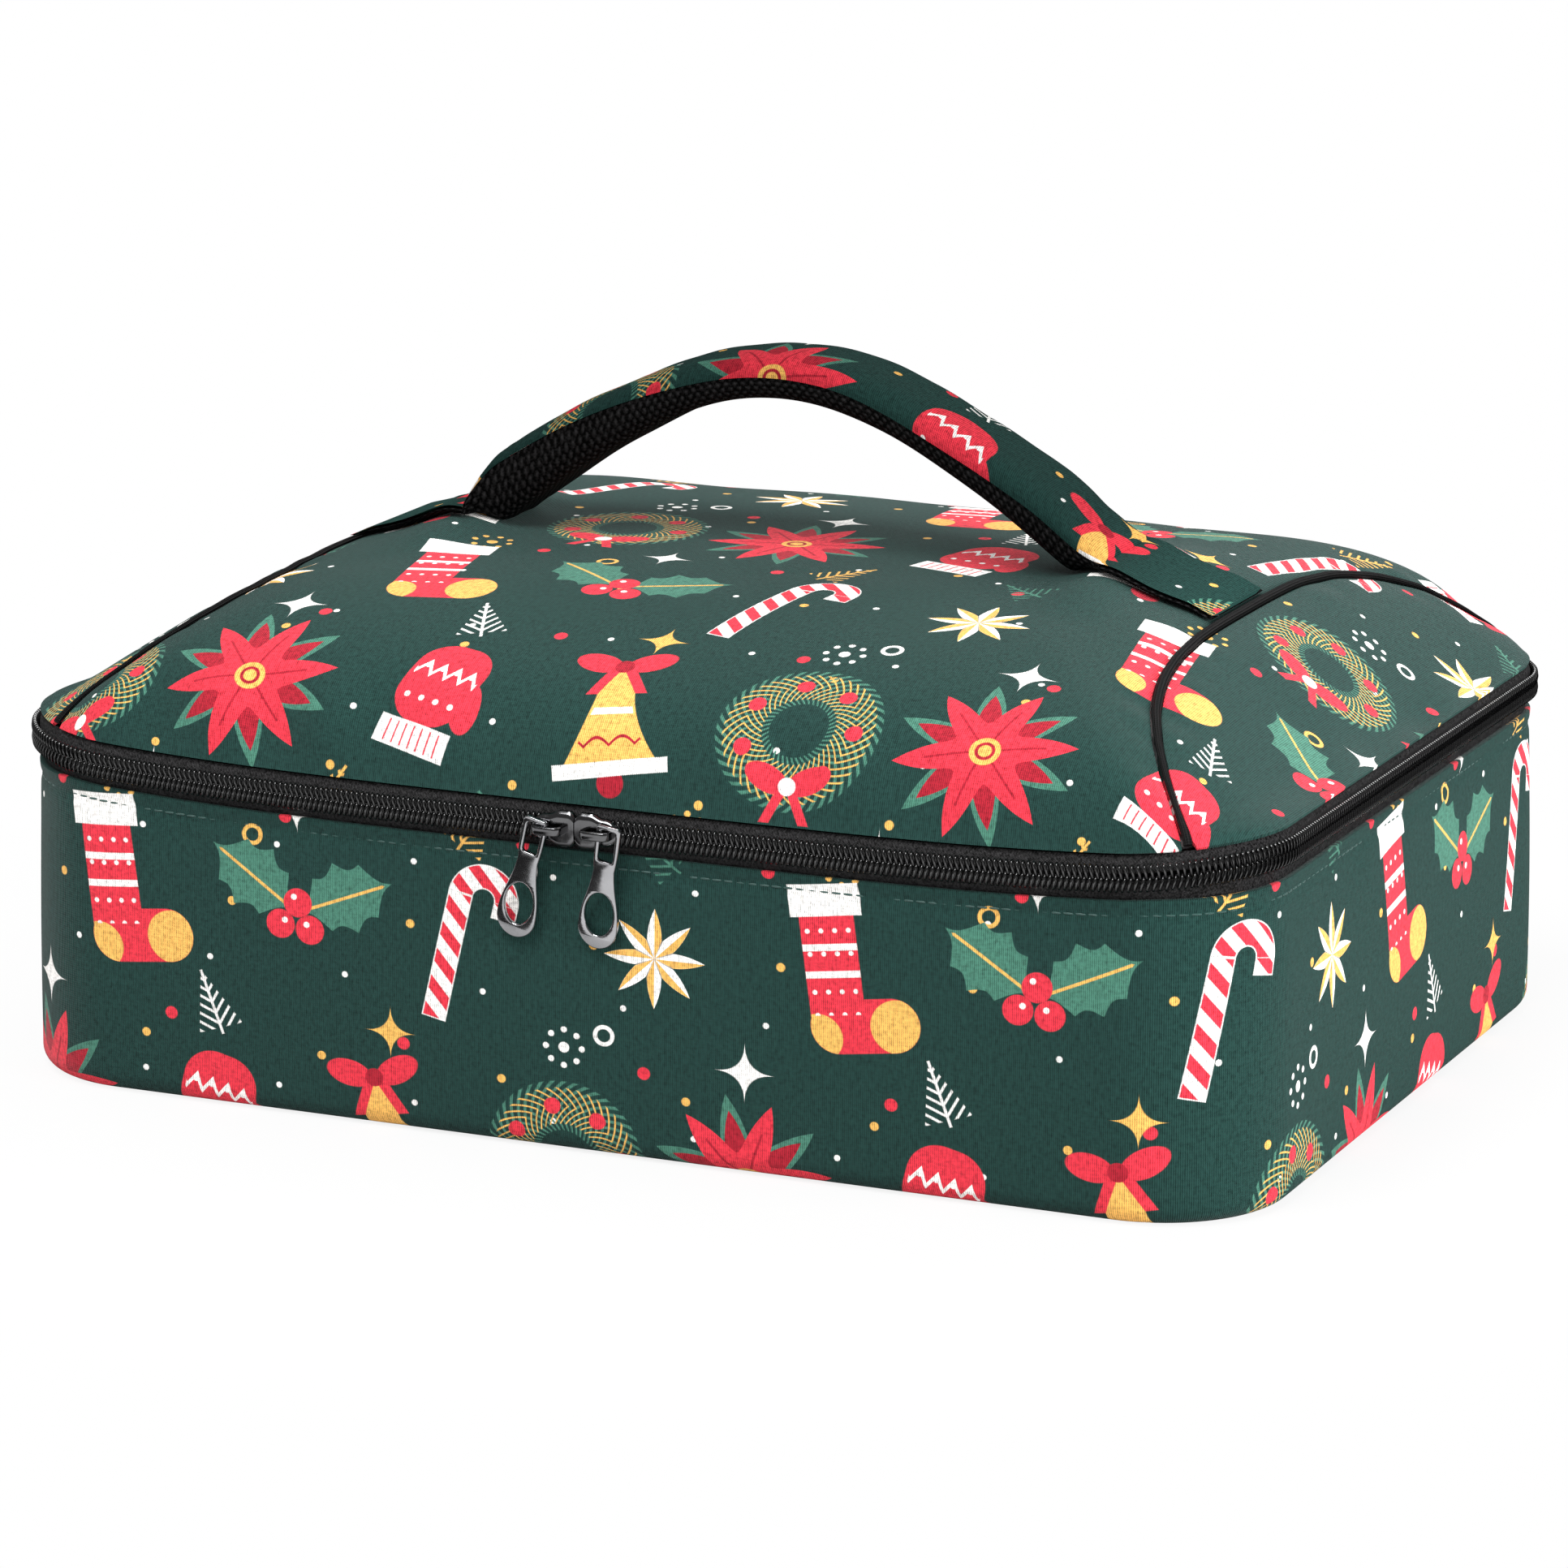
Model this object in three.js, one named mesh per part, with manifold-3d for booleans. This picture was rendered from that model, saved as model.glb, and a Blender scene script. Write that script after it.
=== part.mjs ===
// Casserole carrier: a soft zipped case with a domed lid, a padded handle and two zip sliders.
// Millimetres. +Z is up, -Y is the front, +X runs along the case. The origin is the middle of the
// bottom, on the table. In the sections below, n is the distance out from the rim outline.
import * as THREE from 'three';
import { mergeVertices } from 'three/addons/utils/BufferGeometryUtils.js';
import Module from 'manifold-3d';

const wasm = await Module();
wasm.setup();

// Case
const CASE_LENGTH = 400;
const CASE_DEPTH = 292;
const CASE_CORNER = 40;
const BOTTOM_ROUND = 6;
const WALL_LEAN = 2;
const ZIP_HEIGHT = 104;
const ZIP_SAG = 6.8;

// Sewn layers, and the air between two neighbours
const CLOTH = 0.8;
const FOAM = 5;
const LINING = 0.5;
const BINDING = 0.8;
const BINDING_DROP = 13;
const GAP = 0.3;

// Zipper, measured up or down from its middle line
const HEM = 6.8;
const TAPE = 0.7;
const TAPE_HIDDEN = 7;
const TAPE_PROUD = 0.2;
const TAPE_CLEAR = 1.1;
const COIL_SLOT = 2.4;
const COIL_HEIGHT = 2;
const COIL_DEPTH = 2.4;
const HINGE_LENGTH = 230;
const HINGE_OVERLAP = 2.4;

// Lid
const LID_LIP = 10;
const LID_LIP_RUN = 6;
const LID_END_RUN = 32;
const LID_CROWN = 32.2;
const LID_PULL = 5;
const LID_PULL_RUN = 13;
const LID_PULL_WIDTH = 44;
const END_PANEL = 53.7;
const END_PANEL_TIP = 13.5;
const PIPING_WIDTH = 3.6;
const PIPING_HEIGHT = 2.2;
const LID_LOOSE = 0.6;
const LID_EDGE = 1.4;
const LID_EDGE_RISE = 5;
const LID_BINDING = 13.5;

// Handle
const HANDLE_RISE = 60.5;
const HANDLE_WIDTH = 37;
const HANDLE_COVER = 6.4;
const HANDLE_PAD = 7;
const HANDLE_PAD_GROWTH = 3.6;
const HANDLE_SLOPE = 0.838;
const HANDLE_BEND = 80;
const SWAY_CUT = 76;
const ROOT_LENGTH = 15;
const NOSE_LENGTH = 16;
const TAB_WIDTH = 45;
const TAB_MESH = 2.6;
const TAB_MESH_END = 1.4;
const TAB_OVERHANG = 1.5;

// Sliders and pulls
const MEETING_X = -4;
const SLIDER_LENGTH = 13.5;
const SLIDER_MOUTH = 10.5;
const SLIDER_TAIL = 8;
const SLIDER_PLATE = 1.1;
const SLIDER_PLAY = 0.4;
const POST_HEIGHT = 1;
const BAIL_LENGTH = 9.6;
const BAIL_BAR = 1.6;
const BAIL_SPACE = 2.6;
const BAIL_WIDTH = 2.6;
const PULL_LENGTH = 38;
const PULL_NECK = 7.8;
const PULL_FOOT = 12.5;
const PULL_THICK = 1.6;
const PULL_WINDOW = 9.5;
const PULL_BAR = 1.5;
const PULL_RIM = 1.7;
const PULL_HOLE = 13.2;
const PULL_TOE = 4;
const PULL_REST = 5;
const PULL_TILT_LEFT = 15;
const PULL_TILT_RIGHT = 9.5;

// Sizes that follow from the values above
const RIM_X = CASE_LENGTH / 2 - WALL_LEAN;
const RIM_Y = CASE_DEPTH / 2 - WALL_LEAN;
const RIM_CORNER = CASE_CORNER - WALL_LEAN;
const LID_FOAM_FACE = CLOTH + LID_LOOSE;
const LID_LINING_FACE = LID_FOAM_FACE + FOAM + GAP;
const WALL_FOAM_FACE = CLOTH + GAP + TAPE + GAP;
const WALL_LINING_FACE = WALL_FOAM_FACE + FOAM + GAP;
const BINDING_FACE = WALL_LINING_FACE + LINING + GAP;
const COIL_FACE = TAPE_PROUD + GAP;
const COIL_TOP = COIL_SLOT / 2 + COIL_HEIGHT;
const PLATE_FACE = COIL_FACE + COIL_DEPTH + SLIDER_PLAY;
const BACK_PLATE_FACE = TAPE_PROUD - TAPE - SLIDER_PLAY - 0.2;
const LID_TOP = ZIP_HEIGHT + HEM + LID_LIP + LID_CROWN;
const PAD_END = SWAY_CUT + ROOT_LENGTH;
const TAB_START = PAD_END + NOSE_LENGTH;

// Names, colours and finishes
const FINISH = {
  cloth: { color: 0x1f4a43, roughness: 0.8, metalness: 0 },
  foam: { color: 0xd8d6d0, roughness: 0.9, metalness: 0 },
  lining: { color: 0xc3c7ca, roughness: 0.35, metalness: 0.4 },
  tape: { color: 0x1b1a1c, roughness: 0.85, metalness: 0 },
  coil: { color: 0x121214, roughness: 0.35, metalness: 0 },
  mesh: { color: 0x161618, roughness: 0.8, metalness: 0 },
  metal: { color: 0x3a3a3d, roughness: 0.25, metalness: 1 },
};

const carrier = new THREE.Group();
carrier.name = 'casserole_carrier';

function addPiece(name, geometry, finish) {
  const piece = new THREE.Mesh(geometry, new THREE.MeshStandardMaterial(FINISH[finish]));
  piece.name = name;
  carrier.add(piece);
}

// Plain helpers

function smoothStep(low, high, value) {
  const share = Math.min(1, Math.max(0, (value - low) / (high - low)));
  return share * share * (3 - 2 * share);
}

function bisect(low, high, rises) {
  let a = low;
  let b = high;
  for (let step = 0; step < 50; step += 1) {
    const middle = (a + b) / 2;
    if (rises(middle) > 0) b = middle;
    else a = middle;
  }
  return (a + b) / 2;
}

// Closed geometry from points and triangles, with the faces turned outwards
function closedGeometry(points, faces) {
  let volume = 0;
  for (const [a, b, c] of faces) {
    volume += points[a].dot(new THREE.Vector3().crossVectors(points[b], points[c]));
  }
  const turned = volume < 0 ? faces.map(([a, b, c]) => [a, c, b]) : faces;
  const geometry = new THREE.BufferGeometry();
  geometry.setAttribute('position', new THREE.Float32BufferAttribute(points.flatMap((p) => p.toArray()), 3));
  geometry.setIndex(turned.flat());
  return mergeVertices(geometry, 1e-4);
}

function toManifold(geometry) {
  const bare = geometry.clone();
  bare.deleteAttribute('normal');
  bare.deleteAttribute('uv');
  const merged = mergeVertices(bare, 1e-4);
  const corners = merged.index.array;
  const whole = [];
  for (let i = 0; i < corners.length; i += 3) {
    const [a, b, c] = [corners[i], corners[i + 1], corners[i + 2]];
    if (a !== b && b !== c && a !== c) whole.push(a, b, c);
  }
  return new wasm.Manifold(new wasm.Mesh({
    numProp: 3,
    vertProperties: new Float32Array(merged.attributes.position.array),
    triVerts: new Uint32Array(whole),
  }));
}

function fromManifold(solid) {
  const mesh = solid.getMesh();
  const geometry = new THREE.BufferGeometry();
  geometry.setAttribute('position', new THREE.BufferAttribute(mesh.vertProperties, 3));
  geometry.setIndex(new THREE.BufferAttribute(mesh.triVerts, 1));
  return geometry;
}

function join(geometries) {
  return fromManifold(geometries.map(toManifold).reduce((sum, solid) => sum.add(solid)));
}

// Solid along rows of matching section points, as a closed ring or with flat ends
function sectionSolid(rows, isRing) {
  const count = rows[0].length;
  const points = rows.flat();
  const faces = [];
  const spans = isRing ? rows.length : rows.length - 1;
  for (let i = 0; i < spans; i += 1) {
    const here = i * count;
    const next = ((i + 1) % rows.length) * count;
    for (let j = 0; j < count; j += 1) {
      const k = (j + 1) % count;
      faces.push([here + j, here + k, next + k], [here + j, next + k, next + j]);
    }
  }
  return { points, faces, last: (rows.length - 1) * count };
}

// Counter-clockwise copy of a section outline
function counterClockwise(section) {
  const flat = section.map(([a, b]) => new THREE.Vector2(a, b));
  return THREE.ShapeUtils.isClockWise(flat) ? section.slice().reverse() : section;
}

function capFaces(section) {
  const flat = section.map(([a, b]) => new THREE.Vector2(a, b));
  return THREE.ShapeUtils.triangulateShape(flat, []);
}

function sectionGeometry(section, rows, isRing) {
  const { points, faces, last } = sectionSolid(rows, isRing);
  if (!isRing) {
    for (const [a, b, c] of capFaces(section)) {
      faces.push([a, c, b], [last + a, last + b, last + c]);
    }
  }
  return closedGeometry(points, faces);
}

// Rim outline: a rounded rectangle, with the front of the zipper line sagging in the middle

function sagAt(x, y) {
  const front = Math.min(1, Math.max(0, -y / RIM_Y));
  return ZIP_SAG * (1 - (x / RIM_X) ** 4) * front ** 3;
}

function rimHeight(x, y) {
  return ZIP_HEIGHT - sagAt(x, y);
}

// Stations round the rim, clockwise from the back; backStart leaves the hinge free
function rimStations(backStart) {
  const stations = [];
  const straightX = RIM_X - RIM_CORNER;
  const straightY = RIM_Y - RIM_CORNER;
  const add = (x, y, nx, ny) => stations.push({ x, y, nx, ny });
  const line = (x0, y0, x1, y1, steps, nx, ny) => {
    for (let i = 0; i < steps; i += 1) add(x0 + ((x1 - x0) * i) / steps, y0 + ((y1 - y0) * i) / steps, nx, ny);
  };
  const arc = (cx, cy, start) => {
    for (let i = 0; i < 5; i += 1) {
      const angle = start - (Math.PI / 2) * (i / 5);
      const nx = Math.cos(angle);
      const ny = Math.sin(angle);
      add(cx + RIM_CORNER * nx, cy + RIM_CORNER * ny, nx, ny);
    }
  };
  line(backStart, RIM_Y, straightX, RIM_Y, 2, 0, 1);
  arc(straightX, straightY, Math.PI / 2);
  line(RIM_X, straightY, RIM_X, -straightY, 3, 1, 0);
  arc(straightX, -straightY, 0);
  line(straightX, -RIM_Y, -straightX, -RIM_Y, 8, 0, -1);
  arc(-straightX, -straightY, -Math.PI / 2);
  line(-RIM_X, -straightY, -RIM_X, straightY, 3, -1, 0);
  arc(-straightX, straightY, -Math.PI);
  line(-straightX, RIM_Y, -backStart, RIM_Y, 2, 0, 1);
  if (backStart > 0) add(-backStart, RIM_Y, 0, 1);
  return stations;
}

// Sweep of a section [n, z, share] along the rim; share is how much of the sag a point follows
function rimSweep(section, backStart = 0) {
  const outline = counterClockwise(section);
  const rows = rimStations(backStart).map(({ x, y, nx, ny }) => outline.map(([n, z, share]) => (
    new THREE.Vector3(x + nx * n, y + ny * n, z - share * sagAt(x, y))
  )));
  return sectionGeometry(outline, rows, backStart === 0);
}

function roundedPlate(n, bottom, thickness) {
  const shape = new THREE.Shape(rimStations(0).map(({ x, y, nx, ny }) => (
    new THREE.Vector2(x + nx * n, y + ny * n)
  )));
  const plate = new THREE.ExtrudeGeometry(shape, { depth: thickness, bevelEnabled: false });
  plate.translate(0, 0, bottom);
  return fromManifold(toManifold(plate));
}

// Base: wall, bottom, padding, lining

const WALL_TOP = ZIP_HEIGHT - HEM;
const BOTTOM_STACK = CLOTH + GAP + FOAM + GAP;

function leanAt(z) {
  return WALL_LEAN * (1 - z / WALL_TOP);
}

function wallArc(radius) {
  const points = [];
  for (let i = 0; i <= 3; i += 1) {
    const angle = (Math.PI / 2) * (i / 3);
    const drop = BOTTOM_ROUND - radius * Math.cos(angle);
    points.push([leanAt(0) - BOTTOM_ROUND + radius * Math.sin(angle), drop, 0]);
  }
  return points;
}

const outerArc = wallArc(BOTTOM_ROUND);
const innerArc = wallArc(BOTTOM_ROUND - CLOTH).reverse();
addPiece('base_wall_cloth', rimSweep([
  ...outerArc, [0, WALL_TOP, 1], [-CLOTH, WALL_TOP, 1], ...innerArc,
]), 'cloth');

const plateEdge = WALL_LEAN - BOTTOM_ROUND - GAP;
addPiece('base_bottom_cloth', roundedPlate(plateEdge, 0, CLOTH), 'cloth');
addPiece('base_bottom_foam', roundedPlate(plateEdge, CLOTH + GAP, FOAM), 'foam');

function wallLayer(face, thickness) {
  return rimSweep([
    [leanAt(BOTTOM_STACK) - face, BOTTOM_STACK, 0], [-face, WALL_TOP, 1],
    [-face - thickness, WALL_TOP, 1], [leanAt(BOTTOM_STACK) - face - thickness, BOTTOM_STACK, 0],
  ]);
}

addPiece('base_wall_foam', wallLayer(WALL_FOAM_FACE, FOAM), 'foam');
addPiece('base_wall_lining', wallLayer(WALL_LINING_FACE, LINING), 'lining');
const floorEdge = leanAt(BOTTOM_STACK) - WALL_LINING_FACE - LINING - GAP;
addPiece('base_bottom_lining', roundedPlate(floorEdge, BOTTOM_STACK, LINING), 'lining');

// Binding folded over the raw edges of the base's padding and lining
const bindingTop = WALL_TOP + GAP;
addPiece('base_rim_binding', rimSweep([
  [-BINDING_FACE, WALL_TOP - BINDING_DROP, 1], [-BINDING_FACE, bindingTop, 1],
  [-WALL_FOAM_FACE, bindingTop, 1], [-WALL_FOAM_FACE, bindingTop + BINDING, 1],
  [-BINDING_FACE - BINDING, bindingTop + BINDING, 1],
  [-BINDING_FACE - BINDING, WALL_TOP - BINDING_DROP, 1],
]), 'tape');

// Zipper: two tapes with a coil row each, open at the back where the hinge strip is

const hingeHalf = HINGE_LENGTH / 2 + GAP;

function zipSection(points) {
  return (side) => points.map(([n, z]) => [n, ZIP_HEIGHT + side * z, 1]);
}

const tapeOut = -(CLOTH + GAP);
const lowerTape = zipSection([
  [tapeOut, HEM + TAPE_HIDDEN], [tapeOut, HEM], [TAPE_PROUD, COIL_TOP + 0.2], [TAPE_PROUD, COIL_SLOT / 2],
  [TAPE_PROUD - TAPE, COIL_SLOT / 2], [TAPE_PROUD - TAPE, COIL_TOP], [tapeOut - TAPE, HEM],
  [tapeOut - TAPE, HEM + TAPE_HIDDEN],
]);
const upperTape = zipSection([
  [tapeOut, HEM - TAPE_CLEAR], [TAPE_PROUD, COIL_TOP + 0.2], [TAPE_PROUD, COIL_SLOT / 2],
  [TAPE_PROUD - TAPE, COIL_SLOT / 2], [TAPE_PROUD - TAPE, COIL_TOP], [tapeOut - TAPE, HEM - TAPE_CLEAR],
]);
const coilRow = zipSection([
  [COIL_FACE, COIL_SLOT / 2], [COIL_FACE + COIL_DEPTH, COIL_SLOT / 2],
  [COIL_FACE + COIL_DEPTH, COIL_SLOT / 2 + COIL_HEIGHT * 0.5],
  [COIL_FACE + COIL_DEPTH * 0.6, COIL_TOP], [COIL_FACE, COIL_TOP],
]);
addPiece('zip_tape_lower', rimSweep(lowerTape(-1), hingeHalf), 'tape');
addPiece('zip_coil_lower', rimSweep(coilRow(-1), hingeHalf), 'coil');
addPiece('zip_tape_upper', rimSweep(upperTape(1), hingeHalf), 'tape');
addPiece('zip_coil_upper', rimSweep(coilRow(1), hingeHalf), 'coil');

// Cloth strip across the back that the lid folds on
const hingeStrip = new THREE.BoxGeometry(HINGE_LENGTH, CLOTH, 2 * (HEM + HINGE_OVERLAP));
hingeStrip.translate(0, RIM_Y + GAP + CLOTH / 2, ZIP_HEIGHT);
addPiece('hinge_strip', fromManifold(toManifold(hingeStrip)), 'cloth');

// Lid surface

function rimReach(x) {
  const past = Math.abs(x) - (RIM_X - RIM_CORNER);
  if (past <= 0) return RIM_Y;
  return RIM_Y - RIM_CORNER + Math.sqrt(Math.max(0, RIM_CORNER ** 2 - past ** 2));
}

function edgeDistance(x, y) {
  const px = Math.abs(x) - (RIM_X - RIM_CORNER);
  const py = Math.abs(y) - (RIM_Y - RIM_CORNER);
  if (px > 0 && py > 0) return Math.max(0, RIM_CORNER - Math.hypot(px, py));
  return Math.max(0, RIM_CORNER - Math.max(px, py));
}

// Run of the lip at a plan point: short along the front and back, long along the ends
function lipRun(x, y) {
  const px = Math.abs(x) - (RIM_X - RIM_CORNER);
  const py = Math.abs(y) - (RIM_Y - RIM_CORNER);
  const end = smoothStep(-0.9 * RIM_CORNER, 0.16 * RIM_CORNER, px - py);
  return LID_LIP_RUN + (LID_END_RUN - LID_LIP_RUN) * end;
}

// The lip at the rim, a flat-topped dome, and the peaks where the handle's roots pull the cloth up
function lidHeight(x, y) {
  const edge = edgeDistance(x, y);
  const along = Math.max(0, 1 - Math.abs(x / RIM_X) ** 8.2) ** 2.5;
  const across = Math.max(0, 1 - Math.abs(y / RIM_Y) ** 2.8) ** 0.45;
  const lip = LID_LIP * (1 - Math.exp(-edge / lipRun(x, y)));
  const crown = LID_CROWN * along * across * (1 - Math.exp(-edge / 1.2));
  const fromRoot = (Math.abs(x) - TAB_START) / LID_PULL_RUN;
  const pull = LID_PULL * Math.exp(-(fromRoot ** 2) - (y / LID_PULL_WIDTH) ** 4);
  return rimHeight(x, y) + HEM + lip + crown + pull;
}

// Upward normal of the lid, taken a little inside the rim
function lidNormal(x, y) {
  const px = x * 0.994;
  const py = y * 0.994;
  const slopeX = lidHeight(px + 0.4, py) - lidHeight(px - 0.4, py);
  const slopeY = lidHeight(px, py + 0.4) - lidHeight(px, py - 0.4);
  return new THREE.Vector3(-slopeX, -slopeY, 0.8).normalize();
}

function lidPoint(x, y, depth) {
  return new THREE.Vector3(x, y, lidHeight(x, y)).addScaledVector(lidNormal(x, y), -depth);
}

// Seam between the top panel and an end panel, as its distance from the middle of the case
function seamAt(y, shift = 0) {
  const share = Math.abs(y) / RIM_Y;
  const bulge = END_PANEL - END_PANEL_TIP;
  const turn = (bulge * 3.6 * share ** 2.6) / RIM_Y;
  return RIM_X - END_PANEL + bulge * share ** 3.6 + shift * Math.hypot(1, turn);
}

const SEAM_ROWS = [1, 0.99, 0.972, 0.94, 0.89, 0.82, 0.73, 0.61, 0.46, 0.31, 0.16];
const ROWS = [...SEAM_ROWS.map((t) => -t), 0, ...SEAM_ROWS.slice().reverse()];
const COLUMNS = [-1, -0.87, -0.74, -0.63, -0.5, -0.27, 0, 0.27, 0.5, 0.63, 0.74, 0.87, 1];
const ACROSS = [0, 0.22, 0.44, 0.65, 0.84, 1];

function seamEnd(share, shift) {
  return bisect(0, RIM_Y, (y) => y - rimReach(share * seamAt(y, shift)));
}

// Top panel between the seams, as rows of plan points that place may move
function topPatch(shift, place = (point) => point) {
  return COLUMNS.map((share) => {
    const moved = Math.abs(share) === 1 ? shift : 0;
    const reach = seamEnd(share, moved);
    return ROWS.map((t) => place([share * seamAt(t * reach, moved), t * reach]));
  });
}

// Rim point of an end panel, by share -1 to 1 of the way from its front tip to its rear tip
function endRim(t, tipY) {
  const turn = Math.asin((tipY - (RIM_Y - RIM_CORNER)) / RIM_CORNER);
  const arc = RIM_CORNER * turn;
  const straight = RIM_Y - RIM_CORNER;
  const way = Math.abs(t) * (arc + straight);
  if (way <= straight) return [RIM_X, Math.sign(t) * way];
  const angle = (way - straight) / RIM_CORNER;
  return [RIM_X - RIM_CORNER + RIM_CORNER * Math.cos(angle),
    Math.sign(t) * (straight + RIM_CORNER * Math.sin(angle))];
}

// End panel between a seam and the rim; side is 1 for the right end and -1 for the left
function endPatch(side, shift, place = (point) => point) {
  const tipY = seamEnd(1, shift);
  const columns = ACROSS.map((share) => ROWS.map((t) => {
    const [seamX, seamY] = place([seamAt(t * tipY, shift), t * tipY]);
    const [rimX, rimY] = place(endRim(t, tipY));
    return [side * (seamX * (1 - share) + rimX * share), seamY * (1 - share) + rimY * share];
  }));
  return side > 0 ? columns : columns.reverse();
}

// Plan point moved in so that it lies at least the inset inside the rim
function movedIn([x, y], inset) {
  const px = Math.abs(x) - (RIM_X - RIM_CORNER);
  const py = Math.abs(y) - (RIM_Y - RIM_CORNER);
  const reach = RIM_CORNER - inset;
  const share = Math.min(1, reach / Math.hypot(Math.max(px, 0), Math.max(py, 0), 1e-9));
  const moved = (value, past, straight) => (past > 0 ? Math.sign(value) * (straight + past * share) : value);
  return [moved(x, px, RIM_X - RIM_CORNER), moved(y, py, RIM_Y - RIM_CORNER)];
}

// Plan point moved in to where the lid has risen enough to hold its padding
function keptInside(point) {
  const rise = (inset) => {
    const [x, y] = movedIn(point, inset);
    return lidHeight(x, y) - rimHeight(x, y) - HEM - LID_EDGE_RISE;
  };
  return movedIn(point, bisect(LID_EDGE, RIM_CORNER, rise));
}

function withoutRimRows(patch) {
  return patch.map((column) => column.slice(1, -1));
}

// Closed shell between two depths under the lid surface, over one or more patches
function lidShell(patches, outerDepth, innerDepth) {
  const index = new Map();
  const plan = [];
  const triangles = [];
  const find = ([x, y]) => {
    const key = `${x.toFixed(3)} ${y.toFixed(3)}`;
    if (!index.has(key)) {
      index.set(key, plan.length);
      plan.push([x, y]);
    }
    return index.get(key);
  };
  for (const patch of patches) {
    for (let i = 0; i + 1 < patch.length; i += 1) {
      for (let j = 0; j + 1 < patch[i].length; j += 1) {
        const corners = [patch[i][j], patch[i + 1][j], patch[i + 1][j + 1], patch[i][j + 1]].map(find);
        const [a, b, c, d] = corners;
        triangles.push([a, b, c], [a, c, d]);
      }
    }
  }
  const whole = triangles.filter(([a, b, c]) => a !== b && b !== c && a !== c);
  const count = plan.length;
  const points = [outerDepth, innerDepth].flatMap((depth) => plan.map(([x, y]) => lidPoint(x, y, depth)));
  const edges = new Set(whole.flatMap(([a, b, c]) => [`${a} ${b}`, `${b} ${c}`, `${c} ${a}`]));
  const faces = [...whole, ...whole.map(([a, b, c]) => [a + count, c + count, b + count])];
  for (const edge of edges) {
    const [a, b] = edge.split(' ').map(Number);
    if (!edges.has(`${b} ${a}`)) faces.push([b, a, a + count], [b, a + count, b + count]);
  }
  return closedGeometry(points, faces);
}

const seamHalf = PIPING_WIDTH / 2 + GAP;
addPiece('lid_top_panel', lidShell([topPatch(-seamHalf)], 0, CLOTH), 'cloth');
addPiece('lid_end_panel_left', lidShell([endPatch(-1, seamHalf)], 0, CLOTH), 'cloth');
addPiece('lid_end_panel_right', lidShell([endPatch(1, seamHalf)], 0, CLOTH), 'cloth');

// The padding and lining stop short of the rim
const insideLid = [
  endPatch(-1, 0, keptInside), topPatch(0, keptInside), endPatch(1, 0, keptInside),
].map(withoutRimRows);
addPiece('lid_foam', lidShell(insideLid, LID_FOAM_FACE, LID_FOAM_FACE + FOAM), 'foam');
addPiece('lid_lining', lidShell(insideLid, LID_LINING_FACE, LID_LINING_FACE + LINING), 'lining');

// Binding under the raw edges of the lid's padding and lining, clear of the sliders' back plates
const lidBindingTop = ZIP_HEIGHT + COIL_TOP + 2 * GAP + BINDING;
const lidBindingEdge = BACK_PLATE_FACE - SLIDER_PLATE - GAP;
addPiece('lid_rim_binding', rimSweep([
  [lidBindingEdge, lidBindingTop, 1], [lidBindingEdge - LID_BINDING, lidBindingTop, 1],
  [lidBindingEdge - LID_BINDING, lidBindingTop - BINDING, 1], [lidBindingEdge, lidBindingTop - BINDING, 1],
]), 'tape');

// Piping along each seam: a rounded cord tape that stands a little above the cloth and thins at its ends
function pipingGeometry(side) {
  const tip = seamEnd(1, 0) - GAP;
  const section = [];
  for (let i = 0; i < 8; i += 1) {
    const angle = (Math.PI / 4) * (i + 0.5);
    section.push([(PIPING_WIDTH / 2) * Math.cos(angle) * 1.08, (PIPING_HEIGHT / 2) * Math.sin(angle) * 1.08]);
  }
  const lift = PIPING_HEIGHT / 2 - CLOTH + 0.05;
  const at = (t) => lidPoint(side * seamAt(t * tip), t * tip, 0);
  const rows = ROWS.map((t) => {
    const along = at(Math.min(1, t + 0.004)).sub(at(Math.max(-1, t - 0.004))).normalize();
    const up = lidNormal(side * seamAt(t * tip), t * tip);
    const sideways = new THREE.Vector3().crossVectors(along, up).normalize();
    const upright = new THREE.Vector3().crossVectors(sideways, along).normalize();
    const size = 1 - 0.45 * smoothStep(0.8, 1, Math.abs(t));
    return section.map(([w, h]) => (
      at(t).addScaledVector(sideways, w * size).addScaledVector(upright, h * size + lift)
    ));
  });
  return sectionGeometry(section, rows, false);
}

addPiece('lid_piping_left', pipingGeometry(-1), 'tape');
addPiece('lid_piping_right', pipingGeometry(1), 'tape');

// Handle: a padded strap that arches along the lid, with flat sewn tabs at both ends

const HANDLE_TOP = LID_TOP + HANDLE_RISE;
const SPREAD = [0, 0.5, 0.8, 0.955, 1];
const COVER_DROP = [0, 0.05, 0.22, 0.55, 1];
const MESH_DROP = [0, 0.02, 0.08, 0.3, 1];
const tabEnd = RIM_X - END_PANEL - seamHalf - GAP;

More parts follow.
